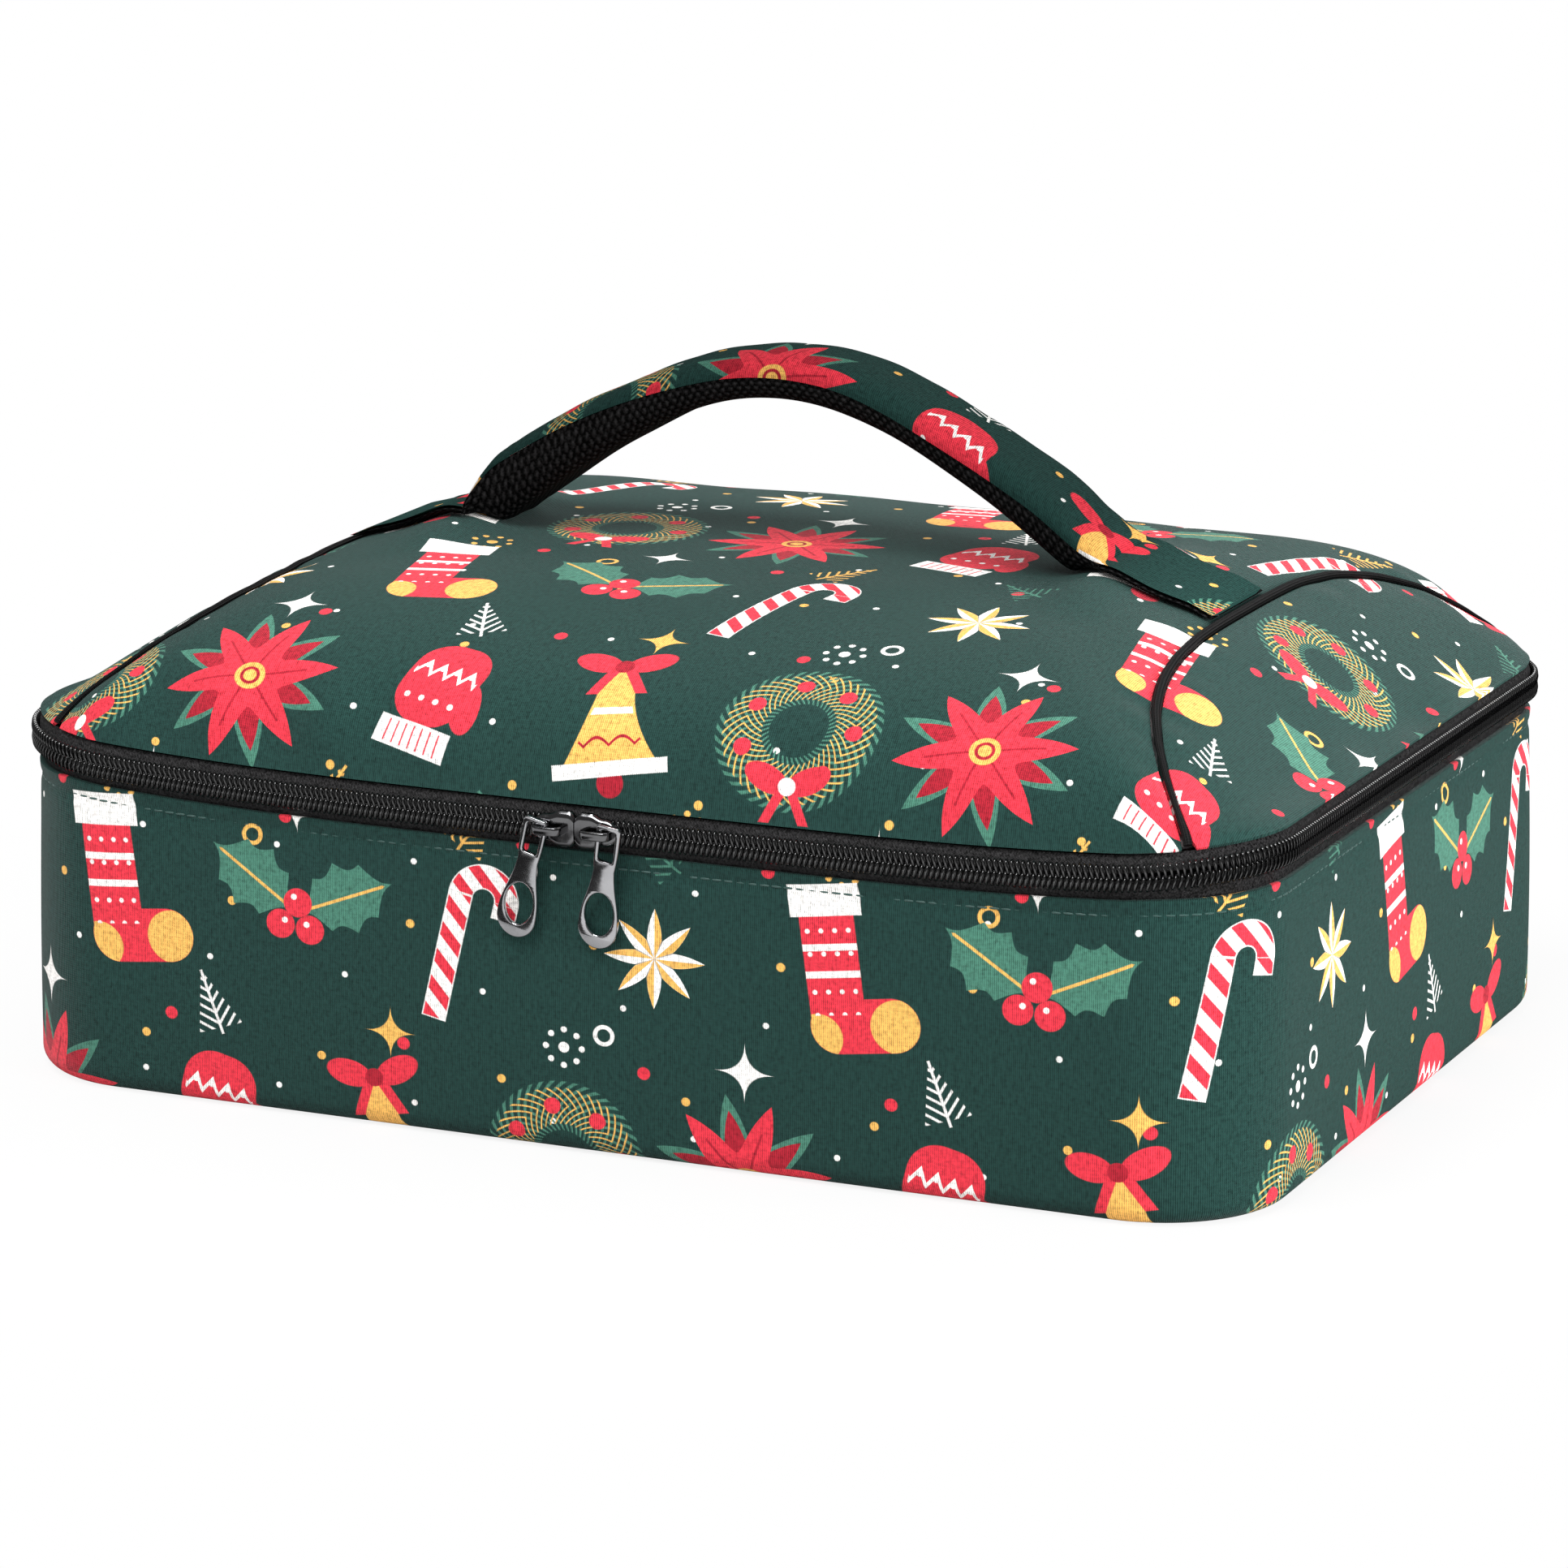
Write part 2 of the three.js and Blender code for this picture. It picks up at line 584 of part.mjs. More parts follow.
// Sizes of the strap at x: the padded arch, its blunt end on the lid, then the flat tab
function handleAt(x) {
  const reach = Math.abs(x);
  const bend = Math.hypot(reach, HANDLE_BEND);
  const nose = Math.min(1, Math.max(0, (reach - PAD_END) / NOSE_LENGTH));
  const padding = Math.sqrt(1 - nose ** 2);
  const bed = lidHeight(x, 0) + GAP;
  const tab = TAB_MESH + (TAB_MESH_END - TAB_MESH) * smoothStep(TAB_START, tabEnd, reach);
  const arch = HANDLE_TOP - HANDLE_SLOPE * (bend - HANDLE_BEND);
  const top = arch * padding + (bed + tab + GAP + CLOTH) * (1 - padding);
  const stretch = 1 + (Math.hypot(1, (HANDLE_SLOPE * reach) / bend) - 1) * padding;
  const cover = HANDLE_COVER * padding;
  const edge = Math.max(cover, CLOTH);
  const padded = (HANDLE_PAD + HANDLE_PAD_GROWTH * (reach / SWAY_CUT) ** 1.5) * padding;
  const total = Math.min((top - bed) / stretch, edge + GAP + Math.max(padded, tab));
  const pad = total - edge - GAP;
  const sheet = CLOTH + (pad - CLOTH) * (1 - padding);
  const half = (HANDLE_WIDTH + (TAB_WIDTH - HANDLE_WIDTH) * (1 - padding)) / 2;
  const coverHalf = half - TAB_OVERHANG * (1 - padding);
  return { top, stretch, cover, edge, total, pad, sheet, half, coverHalf };
}

// The three layers as sections of [y, depth below the top], ordered from the middle outwards
const LAYERS = {
  cover: ({ cover, edge, coverHalf }) => {
    const inside = coverHalf - CLOTH;
    const out = SPREAD.map((s, i) => [s * coverHalf, cover * COVER_DROP[i]]);
    const inn = SPREAD.map((s, i) => [s * inside, i < 4 ? Math.min(cover * COVER_DROP[i] + CLOTH, edge) : edge]);
    return [out, inn];
  },
  mesh: ({ pad, edge, total, sheet, half }) => {
    const top = edge + GAP;
    const low = SPREAD.map((s, i) => total - pad * MESH_DROP[i]);
    const inn = SPREAD.map((s, i) => [s * (half - CLOTH), i < 4 ? Math.max(low[i] - sheet, top) : top]);
    const out = SPREAD.map((s, i) => [s * half, low[i]]);
    return [inn, out];
  },
  foam: ({ cover, pad, total, sheet, coverHalf }) => {
    const inside = coverHalf - CLOTH - GAP;
    const high = SPREAD.slice(0, 4).map((s, i) => [s * inside, cover * COVER_DROP[i] + CLOTH + GAP]);
    const low = SPREAD.slice(0, 4).map((s, i) => [s * inside, total - pad * MESH_DROP[i] - sheet - GAP]);
    return [high, low];
  },
};

function strapGeometry(layer, stops) {
  const rows = stops.map((x) => {
    const place = handleAt(x);
    const [upper, lower] = LAYERS[layer](place);
    const left = (points) => points.slice(1).reverse().map(([y, d]) => [-y, d]);
    const right = (points) => points;
    const outline = [...left(upper), ...right(upper), ...right(lower).slice().reverse(),
      ...left(lower).slice().reverse()];
    return outline.map(([y, d]) => [y, place.top - d * place.stretch, x]);
  });
  const section = rows[0].map(([y, z]) => [y, z]);
  const flip = THREE.ShapeUtils.isClockWise(section.map(([y, z]) => new THREE.Vector2(y, z)));
  const ordered = flip ? rows.map((row) => row.slice().reverse()) : rows;
  const points = ordered.map((row) => row.map(([y, z, x]) => new THREE.Vector3(x, y, z)));
  return sectionGeometry(ordered[0].map(([y, z]) => [y, z]), points, false);
}

function stopsBetween(start, end, steps) {
  return Array.from({ length: steps + 1 }, (_, i) => start + ((end - start) * i) / steps);
}

const archStops = stopsBetween(-SWAY_CUT, SWAY_CUT, 12);
const rootStart = SWAY_CUT + GAP;
const noseStops = [0.35, 0.6, 0.78, 0.9, 1].map((share) => PAD_END + NOSE_LENGTH * share);
const rootStops = [rootStart, PAD_END, ...noseStops, ...stopsBetween(TAB_START, tabEnd, 3).slice(1)];
const foamStops = [rootStart, PAD_END, ...noseStops.slice(0, 2)];

addPiece('handle_cover', strapGeometry('cover', archStops), 'cloth');
addPiece('handle_foam', strapGeometry('foam', archStops), 'foam');
addPiece('handle_mesh', strapGeometry('mesh', archStops), 'mesh');
for (const [name, side] of [['left', -1], ['right', 1]]) {
  const turned = (stops) => stops.map((x) => side * x);
  addPiece(`handle_tab_cover_${name}`, strapGeometry('cover', turned(rootStops)), 'cloth');
  addPiece(`handle_tab_foam_${name}`, strapGeometry('foam', turned(foamStops)), 'foam');
  addPiece(`handle_tab_mesh_${name}`, strapGeometry('mesh', turned(rootStops)), 'mesh');
}

// Sliders and pulls, drawn for the right-hand one: x runs from the mouth to the tail

const MIDDLE_Z = ZIP_HEIGHT - sagAt(MEETING_X, -RIM_Y);

// Flat outline in x and z, given its reach n out from the rim
function frontPlate(shape, n, thickness) {
  const plate = new THREE.ExtrudeGeometry(shape, { depth: thickness, bevelEnabled: false, curveSegments: 6 });
  plate.rotateX(Math.PI / 2);
  plate.translate(0, -RIM_Y - n, 0);
  return plate;
}

function sliderOutline(mouth, tail) {
  const shape = new THREE.Shape();
  shape.moveTo(0, -mouth * 0.36);
  shape.quadraticCurveTo(0, -mouth / 2, mouth * 0.16, -mouth / 2);
  shape.lineTo(SLIDER_LENGTH * 0.4, -mouth / 2);
  shape.quadraticCurveTo(SLIDER_LENGTH * 0.55, -tail / 2, SLIDER_LENGTH * 0.7, -tail / 2);
  shape.quadraticCurveTo(SLIDER_LENGTH, -tail / 2, SLIDER_LENGTH, 0);
  shape.quadraticCurveTo(SLIDER_LENGTH, tail / 2, SLIDER_LENGTH * 0.7, tail / 2);
  shape.quadraticCurveTo(SLIDER_LENGTH * 0.55, tail / 2, SLIDER_LENGTH * 0.4, mouth / 2);
  shape.lineTo(mouth * 0.16, mouth / 2);
  shape.quadraticCurveTo(0, mouth / 2, 0, mouth * 0.36);
  return shape;
}

const BAIL_START = SLIDER_LENGTH - BAIL_LENGTH - 1.2;
const BAIL_FACE = PLATE_FACE + SLIDER_PLATE;

// Arch that holds the pull, extruded across its width
function bailGeometry() {
  const shape = new THREE.Shape();
  const low = -0.2;
  const top = BAIL_SPACE + BAIL_BAR;
  const end = BAIL_START + BAIL_LENGTH;
  shape.moveTo(BAIL_START, low);
  shape.lineTo(BAIL_START + BAIL_BAR, low);
  shape.lineTo(BAIL_START + BAIL_BAR, BAIL_SPACE);
  shape.lineTo(end - BAIL_BAR, BAIL_SPACE);
  shape.lineTo(end - BAIL_BAR, low);
  shape.lineTo(end, low);
  shape.lineTo(end, top - BAIL_BAR);
  shape.quadraticCurveTo(end, top, end - BAIL_BAR, top);
  shape.lineTo(BAIL_START + BAIL_BAR, top);
  shape.quadraticCurveTo(BAIL_START, top, BAIL_START, top - BAIL_BAR);
  const bail = new THREE.ExtrudeGeometry(shape, { depth: BAIL_WIDTH, bevelEnabled: false, curveSegments: 4 });
  bail.scale(1, -1, 1);
  bail.translate(0, -RIM_Y - BAIL_FACE, -BAIL_WIDTH / 2);
  return closedGeometry(
    Array.from({ length: bail.attributes.position.count }, (_, i) => (
      new THREE.Vector3().fromBufferAttribute(bail.attributes.position, i))),
    Array.from({ length: bail.attributes.position.count / 3 }, (_, i) => [3 * i, 3 * i + 1, 3 * i + 2]),
  );
}

function sliderGeometry() {
  const front = frontPlate(sliderOutline(SLIDER_MOUTH, SLIDER_TAIL), PLATE_FACE, SLIDER_PLATE);
  const back = frontPlate(sliderOutline(COIL_TOP * 2 + 0.6, COIL_TOP * 2 + 0.2),
    BACK_PLATE_FACE - SLIDER_PLATE, SLIDER_PLATE);
  const depth = PLATE_FACE - BACK_PLATE_FACE + 0.4;
  const post = new THREE.BoxGeometry(4, depth, POST_HEIGHT);
  post.translate(4, -RIM_Y - (PLATE_FACE + BACK_PLATE_FACE) / 2, 0);
  return join([front, back, post, bailGeometry()]);
}

// Tear-drop tab with a window at the top, that goes round the bail's foot, and an oval hole below
function pullGeometry(tilt) {
  const reach = BAIL_WIDTH / 2 + GAP + PULL_BAR;
  const neck = PULL_NECK / 2;
  const foot = PULL_FOOT / 2;
  const bottom = reach - PULL_LENGTH;
  const shape = new THREE.Shape();
  shape.moveTo(-neck, reach - 1.5);
  shape.quadraticCurveTo(-neck, reach, 1.5 - neck, reach);
  shape.lineTo(neck - 1.5, reach);
  shape.quadraticCurveTo(neck, reach, neck, reach - 1.5);
  shape.lineTo(neck - 0.6, reach - PULL_WINDOW - 4);
  shape.bezierCurveTo(neck, bottom + 16, foot, bottom + 14, foot, bottom + foot);
  shape.absarc(0, bottom + foot, foot, 0, -Math.PI, true);
  shape.bezierCurveTo(-foot, bottom + 14, -neck, bottom + 16, 0.6 - neck, reach - PULL_WINDOW - 4);
  const plain = new THREE.ExtrudeGeometry(shape, { depth: PULL_THICK, bevelEnabled: false, curveSegments: 6 });
  const window = new THREE.BoxGeometry(PULL_NECK - 2 * PULL_BAR, PULL_WINDOW, 3 * PULL_THICK);
  window.translate(0, reach - PULL_BAR - PULL_WINDOW / 2, 0);
  const hole = new THREE.CylinderGeometry(foot - PULL_RIM, foot - PULL_RIM, 3 * PULL_THICK, 16);
  hole.rotateX(Math.PI / 2);
  hole.scale(1, PULL_HOLE / (PULL_FOOT - 2 * PULL_RIM), 1);
  hole.translate(0, bottom + PULL_TOE + PULL_HOLE / 2, 0);
  const tab = fromManifold(toManifold(plain).subtract(toManifold(window)).subtract(toManifold(hole)));
  tab.rotateX(Math.PI / 2);
  tab.translate(0, PULL_THICK / 2, 0);
  tab.rotateX(THREE.MathUtils.degToRad(PULL_REST));
  tab.rotateY(THREE.MathUtils.degToRad(tilt));
  return tab;
}

const FOOT_X = BAIL_START + BAIL_LENGTH - BAIL_BAR / 2;
const PULL_FACE = BAIL_FACE + BAIL_SPACE / 2;

for (const [name, side, tilt] of [['left', -1, PULL_TILT_LEFT], ['right', 1, PULL_TILT_RIGHT]]) {
  const placed = new THREE.Matrix4().makeTranslation(MEETING_X + (side * GAP) / 2, 0, MIDDLE_Z);
  const slider = toManifold(sliderGeometry());
  const turned = side > 0 ? slider : slider.mirror([1, 0, 0]);
  addPiece(`slider_${name}`, fromManifold(turned).applyMatrix4(placed), 'metal');
  const pull = pullGeometry(tilt);
  pull.translate(side * FOOT_X, -RIM_Y - PULL_FACE, 0);
  addPiece(`pull_${name}`, pull.applyMatrix4(placed), 'metal');
}

export default carrier;
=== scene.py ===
"""A soft casserole carrier with a domed zip lid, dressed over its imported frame.

Shapes are worked out in millimetres and put into the meshes in metres. +Z is up, -Y is the front and the
origin is the middle of the bottom. In the sections, n is the distance out from the rim outline.
"""

import math

import bmesh
import bpy
import numpy as np
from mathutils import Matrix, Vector


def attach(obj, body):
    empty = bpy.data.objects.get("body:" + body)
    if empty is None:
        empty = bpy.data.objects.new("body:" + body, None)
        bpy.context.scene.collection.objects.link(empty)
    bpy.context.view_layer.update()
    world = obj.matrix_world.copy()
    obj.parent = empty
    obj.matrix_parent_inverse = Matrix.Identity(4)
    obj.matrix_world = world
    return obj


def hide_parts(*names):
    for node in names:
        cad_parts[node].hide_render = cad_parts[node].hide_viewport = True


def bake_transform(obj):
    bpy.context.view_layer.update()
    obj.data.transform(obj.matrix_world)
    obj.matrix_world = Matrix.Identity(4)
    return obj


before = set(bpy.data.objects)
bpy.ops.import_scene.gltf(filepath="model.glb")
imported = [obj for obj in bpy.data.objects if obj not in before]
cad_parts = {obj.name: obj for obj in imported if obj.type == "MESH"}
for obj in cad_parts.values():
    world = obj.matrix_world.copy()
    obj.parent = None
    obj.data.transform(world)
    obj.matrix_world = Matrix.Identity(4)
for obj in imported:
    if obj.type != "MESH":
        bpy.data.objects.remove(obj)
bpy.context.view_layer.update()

bl_info = {
    "name": "Casserole carrier",
    "version": (1, 0, 0),
    "blender": (4, 5, 0),
    "location": "View3D > Sidebar > Carrier",
    "description": "Builds a zipped, padded casserole carrier piece by piece",
    "category": "Add Mesh",
}

MM = 0.001
PRINT_UNIT = 100.0
TURN = 2 * math.pi


# Sizes and colours that a user would change


def length(name, description, default):
    return bpy.props.FloatProperty(
        name=name, description=description, default=default, min=0.0, unit="LENGTH", precision=4
    )


def colour(name, description, default):
    return bpy.props.FloatVectorProperty(
        name=name, description=description, default=default, size=3, min=0.0, max=1.0, subtype="COLOR"
    )


class CarrierSizes(bpy.types.PropertyGroup):
    """Sizes of the carrier, in metres."""

    case_length: length("Case length", "Length of the case at its foot", 0.400)
    case_depth: length("Case depth", "Depth of the case at its foot, front to back", 0.292)
    case_corner: length("Case corner", "Radius of the upright corners at the foot", 0.040)
    wall_lean: length("Wall lean", "How far the walls lean in from foot to rim", 0.002)
    bottom_round: length("Bottom round", "Radius between the walls and the bottom", 0.006)
    zip_height: length("Zip height", "Height of the zip's middle line", 0.104)
    zip_sag: length("Zip sag", "How far the zip sags at the middle of the front", 0.0068)
    hem: length("Hem", "From the zip's middle line to the edge of the cloth", 0.0068)
    lid_lip: length("Lid lip", "Height of the lid's rounded edge", 0.010)
    lid_lip_run: length("Lid lip run", "How far in the edge rises at the front and back", 0.006)
    lid_end_run: length("Lid end run", "How far in the edge rises at the two ends", 0.032)
    lid_crown: length("Lid crown", "Rise of the lid's dome above its edge", 0.0322)
    lid_pull: length("Lid pull", "How far the handle's roots pull the lid up", 0.005)
    lid_pull_run: length("Lid pull run", "Reach of that pull along the handle", 0.013)
    lid_pull_width: length("Lid pull width", "Reach of that pull across the handle", 0.044)
    end_panel: length("End panel", "Width of the lid's end panels at the middle", 0.0537)
    end_panel_tip: length("End panel tip", "Width of the end panels at the corners", 0.0135)
    piping_width: length("Piping width", "Width of the piping at the top of the lid", 0.0036)
    piping_height: length("Piping height", "Thickness of the piping", 0.0022)
    hinge_length: length("Hinge length", "Length of the cloth hinge at the back", 0.230)
    handle_rise: length("Handle rise", "Height of the handle above the lid", 0.0605)
    handle_width: length("Handle width", "Width of the handle", 0.037)
    handle_cover: length("Handle cover", "Thickness of the handle's printed upper half", 0.0064)
    handle_pad: length("Handle pad", "Thickness of the handle's mesh lower half at the top", 0.007)
    handle_pad_growth: length("Handle pad growth", "How much the lower half thickens at its ends", 0.0036)
    handle_bend: length("Handle bend", "How round the top of the handle's arch is", 0.080)
    handle_slope: bpy.props.FloatProperty(
        name="Handle slope", description="Slope of the arch's flanks", default=0.838, min=0.0
    )
    sway_cut: length("Sway cut", "From the middle to where the handle's roots start", 0.076)
    root_length: length("Root length", "Length of the handle's roots", 0.015)
    nose_length: length("Nose length", "Length of the blunt ends of the padding", 0.016)
    tab_width: length("Tab width", "Width of the flat tabs on the lid", 0.045)
    tab_mesh: length("Tab mesh", "Thickness of the mesh under a tab where it starts", 0.0018)
    tab_mesh_end: length("Tab mesh end", "Thickness of the mesh under a tab at its end", 0.0012)
    tab_overhang: length("Tab overhang", "How far the mesh looks out on each side of a tab", 0.0015)
    coil_pitch: length("Coil pitch", "Distance between two turns of the zip coil", 0.00168)
    slider_length: length("Slider length", "Length of a zip slider", 0.0135)
    slider_mouth: length("Slider mouth", "Width of a zip slider at its mouth", 0.0105)
    slider_tail: length("Slider tail", "Width of a zip slider at its tail", 0.008)
    pull_length: length("Pull length", "Length of a zip pull", 0.038)
    pull_neck: length("Pull neck", "Width of a zip pull at its top", 0.0078)
    pull_foot: length("Pull foot", "Width of a zip pull at its round end", 0.0125)
    pull_window: length("Pull window", "Height of the window round the bail", 0.0095)
    pull_bar: length("Pull bar", "Width of the metal round the window", 0.0015)
    pull_hole: length("Pull hole", "Height of the oval hole", 0.0132)
    pull_rim: length("Pull rim", "Width of the metal beside the oval hole", 0.0017)
    pull_toe: length("Pull toe", "Height of the metal under the oval hole", 0.004)
    pull_thick: length("Pull thickness", "Thickness of a zip pull", 0.0016)
    print_scale: bpy.props.FloatProperty(
        name="Print scale", description="Scale of the printed motifs", default=1.06, min=0.1
    )


class CarrierColours(bpy.types.PropertyGroup):
    """Colours of the carrier's finishes, as linear light."""

    ground: colour("Ground", "Green ground of the printed cloth", (0.0130, 0.0418, 0.0361))
    leaf: colour("Leaf", "Lighter green in the print", (0.060, 0.180, 0.130))
    red: colour("Red", "Red in the print", (0.680, 0.036, 0.058))
    deep_red: colour("Deep red", "Shaded red in the print", (0.360, 0.016, 0.030))
    gold: colour("Gold", "Gold in the print", (0.770, 0.420, 0.105))
    white: colour("White", "White in the print", (0.860, 0.840, 0.810))
    tape: colour("Tape", "Black of the tapes, piping and mesh", (0.0095, 0.0092, 0.0095))
    coil: colour("Coil", "Black of the zip coil", (0.0030, 0.0030, 0.0032))
    metal: colour("Metal", "Black nickel of the sliders and pulls", (0.160, 0.160, 0.165))
    lining: colour("Lining", "Silver of the lining", (0.520, 0.535, 0.545))


class Measures:
    """The sizes in millimetres, with those that follow from them."""

    RATIOS = ("handle_slope", "print_scale")

    def __init__(self, sizes):
        for name in CarrierSizes.__annotations__:
            unit = 1.0 if name in self.RATIOS else MM
            setattr(self, name, getattr(sizes, name) / unit)
        self.rim_x = self.case_length / 2 - self.wall_lean
        self.rim_y = self.case_depth / 2 - self.wall_lean
        self.rim_corner = self.case_corner - self.wall_lean
        self.straight_x = self.rim_x - self.rim_corner
        self.straight_y = self.rim_y - self.rim_corner
        self.rim_length = 4 * (self.straight_x + self.straight_y) + TURN * self.rim_corner
        self.wall_top = self.zip_height - self.hem
        self.lid_top = self.zip_height + self.hem + self.lid_lip + self.lid_crown
        self.handle_top = self.lid_top + self.handle_rise
        self.hinge_half = self.hinge_length / 2 + 0.3
        self.pad_end = self.sway_cut + self.root_length
        self.tab_start = self.pad_end + self.nose_length
        self.tab_end = self.rim_x - self.end_panel - self.piping_width / 2 - 0.3


def measures():
    return Measures(bpy.context.scene.carrier_sizes)


def paints():
    return bpy.context.scene.carrier_colours


# Meshes from grids of points


def grid_faces(rows, columns, close_rows=False, close_columns=False):
    """Quads between neighbouring points of a grid, closed round on request, with each corner's row and
    column counted on past the last one, for the UV map."""
    row, column = np.meshgrid(
        np.arange(rows if close_rows else rows - 1),
        np.arange(columns if close_columns else columns - 1),
        indexing="ij",
    )
    row = row.ravel()
    column = column.ravel()
    corner_row = np.stack([row, row + 1, row + 1, row], axis=1)
    corner_column = np.stack([column, column, column + 1, column + 1], axis=1)
    faces = (corner_row % rows) * columns + corner_column % columns
    return faces, corner_row, corner_column


def add_object(name, data):
    """Object of a mesh, curve, lamp or camera, linked to the scene."""
    made = bpy.data.objects.new(name, data)
    bpy.context.scene.collection.objects.link(made)
    return made


def smooth_mesh(mesh, sharp):
    """Smooth shading but for edges sharper than an angle in degrees."""
    mesh.polygons.foreach_set("use_smooth", np.ones(len(mesh.polygons), bool))
    mesh.set_sharp_from_angle(angle=math.radians(sharp))


class Shape:
    """The points, faces and UV corners of one piece, gathered in millimetres."""

    def __init__(self):
        self.points = []
        self.faces = []
        self.corners = []
        self.count = 0

    def add(self, points, faces, corners):
        """Takes points (k, 3), faces as rows of point numbers, and one UV pair in millimetres per corner."""
        self.points.append(np.asarray(points, float))
        self.faces.extend((np.asarray(faces) + self.count).tolist())
        self.corners.append(np.asarray(corners, float).reshape(-1, 2))
        self.count += len(points)

    def add_tube(self, rings, along, around, is_ring=False):
        """Closed sections (rows, columns, 3) joined row to row, as a ring or with a flat face at both ends.
        along and around are the UV distances of the rows and columns, one longer where they close."""
        rows, columns = rings.shape[:2]
        faces, corner_row, corner_column = grid_faces(rows, columns, is_ring, True)
        corners = np.stack([along[corner_row], around[corner_column]], axis=-1)
        self.add(rings.reshape(-1, 3), faces, corners)
        if not is_ring:
            start = self.count - rows * columns
            ends = [np.arange(columns)[::-1] + start, np.arange(columns) + start + (rows - 1) * columns]
            for end, row in zip(ends, (0, rows - 1)):
                self.faces.append(end.tolist())
                self.corners.append(np.stack([np.full(columns, along[row]), around[end % columns]], axis=-1))

    def add_shell(self, outer, inner, uv):
        """Two grids (rows, columns, 3) closed into a shell by a strip along each border."""
        rows, columns = outer.shape[:2]
        faces, _, _ = grid_faces(rows, columns)
        index = np.arange(rows * columns).reshape(rows, columns)
        border = np.concatenate([index[0, :-1], index[:-1, -1], index[-1, :0:-1], index[:0:-1, 0]])
        following = np.roll(border, -1)
        strip = np.stack([border, following, following + rows * columns, border + rows * columns], axis=1)
        both = np.concatenate([faces, faces[:, ::-1] + rows * columns, strip[:, ::-1]])
        flat = uv.reshape(-1, 2)
        self.add(
            np.concatenate([outer.reshape(-1, 3), inner.reshape(-1, 3)]), both, flat[both % (rows * columns)]
        )

    def add_repeats(self, base, faces, places, axes, uv):
        """One small closed form, points (k, 3) on its own axes, set at each place with its axes."""
        points = places[:, None, :] + np.einsum("kc,pcd->pkd", base, axes)
        numbers = np.arange(len(places))[:, None, None] * len(base) + np.asarray(faces)[None]
        corners = np.broadcast_to(uv, (numbers.size, 2))
        self.add(points.reshape(-1, 3), numbers.reshape(-1, np.asarray(faces).shape[1]), corners)

    def piece(self, name, material, sharp=50.0):
        """Mesh object of the gathered form, smooth but for edges sharper than the angle, faces outwards."""
        mesh = bpy.data.meshes.new(name)
        points = np.concatenate(self.points) * MM
        mesh.from_pydata(points.tolist(), [], self.faces)
        layer = mesh.uv_layers.new(name="cloth")
        layer.data.foreach_set("uv", (np.concatenate(self.corners) / PRINT_UNIT).ravel())
        smooth_mesh(mesh, sharp)
        mesh.calc_loop_triangles()
        triangles = np.zeros(len(mesh.loop_triangles) * 3, int)
        mesh.loop_triangles.foreach_get("vertices", triangles)
        a, b, c = points[triangles.reshape(-1, 3)].transpose(1, 0, 2)
        if (a * np.cross(b, c)).sum() < 0:
            mesh.flip_normals()
        mesh.materials.append(material)
        mesh.update()
        return add_object(name, mesh)


def distances(points):
    """Distance along each row of points from its first one."""
    steps = np.linalg.norm(np.diff(points, axis=0), axis=-1)
    return np.concatenate([[0.0], np.cumsum(steps)])


def loop_distances(points):
    """Distance along a closed loop of points from its first one, back round to it."""
    return distances(np.concatenate([points, points[:1]]))


def unit(vectors):
    return vectors / np.linalg.norm(vectors, axis=-1, keepdims=True)


def signed_power(value, power):
    return np.sign(value) * np.abs(value) ** power


def smooth_step(low, high, value):
    share = np.clip((value - low) / (high - low), 0.0, 1.0)
    return share * share * (3 - 2 * share)


def ripple(along, across, wave, seed):
    """Soft wobble of about -1 to 1: five sine waves of about one wave length, each with its own turn and
    phase."""
    chance = np.random.default_rng(seed)
    total = 0.0
    for _ in range(5):
        turn, phase = chance.uniform(0.0, TURN, 2)
        stretch = wave * chance.uniform(0.7, 1.5)
        way = along * math.cos(turn) + across * math.sin(turn)
        total = total + np.sin(TURN * way / stretch + phase)
    return total / 3.0


# Rim outline and lid surface


def rim_at(m, way):
    """Points and outward normals of the rim, a rounded rectangle, by distance clockwise from the middle of
    the back: on a straight side the point runs along, in a corner the normal turns about its centre."""
    quarter = TURN / 4 * m.rim_corner
    x, y = m.straight_x, m.straight_y
    lengths = np.array([x, quarter, 2 * y, quarter, 2 * x, quarter, 2 * y, quarter, x])
    ends = np.cumsum(lengths)
    way = np.mod(np.asarray(way, float), m.rim_length)
    leg = np.clip(np.searchsorted(ends, way, side="right"), 0, 8)
    done = way - (ends - lengths)[leg]
    in_corner = leg % 2 == 1
    angle = TURN / 4 * (1 - np.array([0, 0, 1, 1, 2, 2, 3, 3, 4])[leg])
    angle = angle - np.where(in_corner, done / m.rim_corner, 0.0)
    normal_x, normal_y = np.cos(angle), np.sin(angle)
    start_x = np.array([0, x, x, x, x, -x, -x, -x, -x])[leg]
    start_y = np.array([y, y, y, -y, -y, -y, -y, y, y])[leg]
    run = np.where(in_corner, 0.0, done)
    point_x = start_x + m.rim_corner * normal_x + run * normal_y
    point_y = start_y + m.rim_corner * normal_y - run * normal_x
    return point_x, point_y, normal_x, normal_y


def rim_axes(normal_x, normal_y):
    """Axes along the rim, out and up at each point with an outward normal."""
    none = np.zeros_like(normal_x)
    along = np.stack([normal_y, -normal_x, none], axis=-1)
    out = np.stack([normal_x, normal_y, none], axis=-1)
    up = np.stack([none, none, none + 1], axis=-1)
    return np.stack([along, out, up], axis=1)


def sag_at(m, x, y):
    """How far the zip line hangs down: a flat-bottomed curve along the front that dies out to the back."""
    front = np.clip(-y / m.rim_y, 0.0, 1.0)
    return m.zip_sag * (1 - (x / m.rim_x) ** 4) * front**3


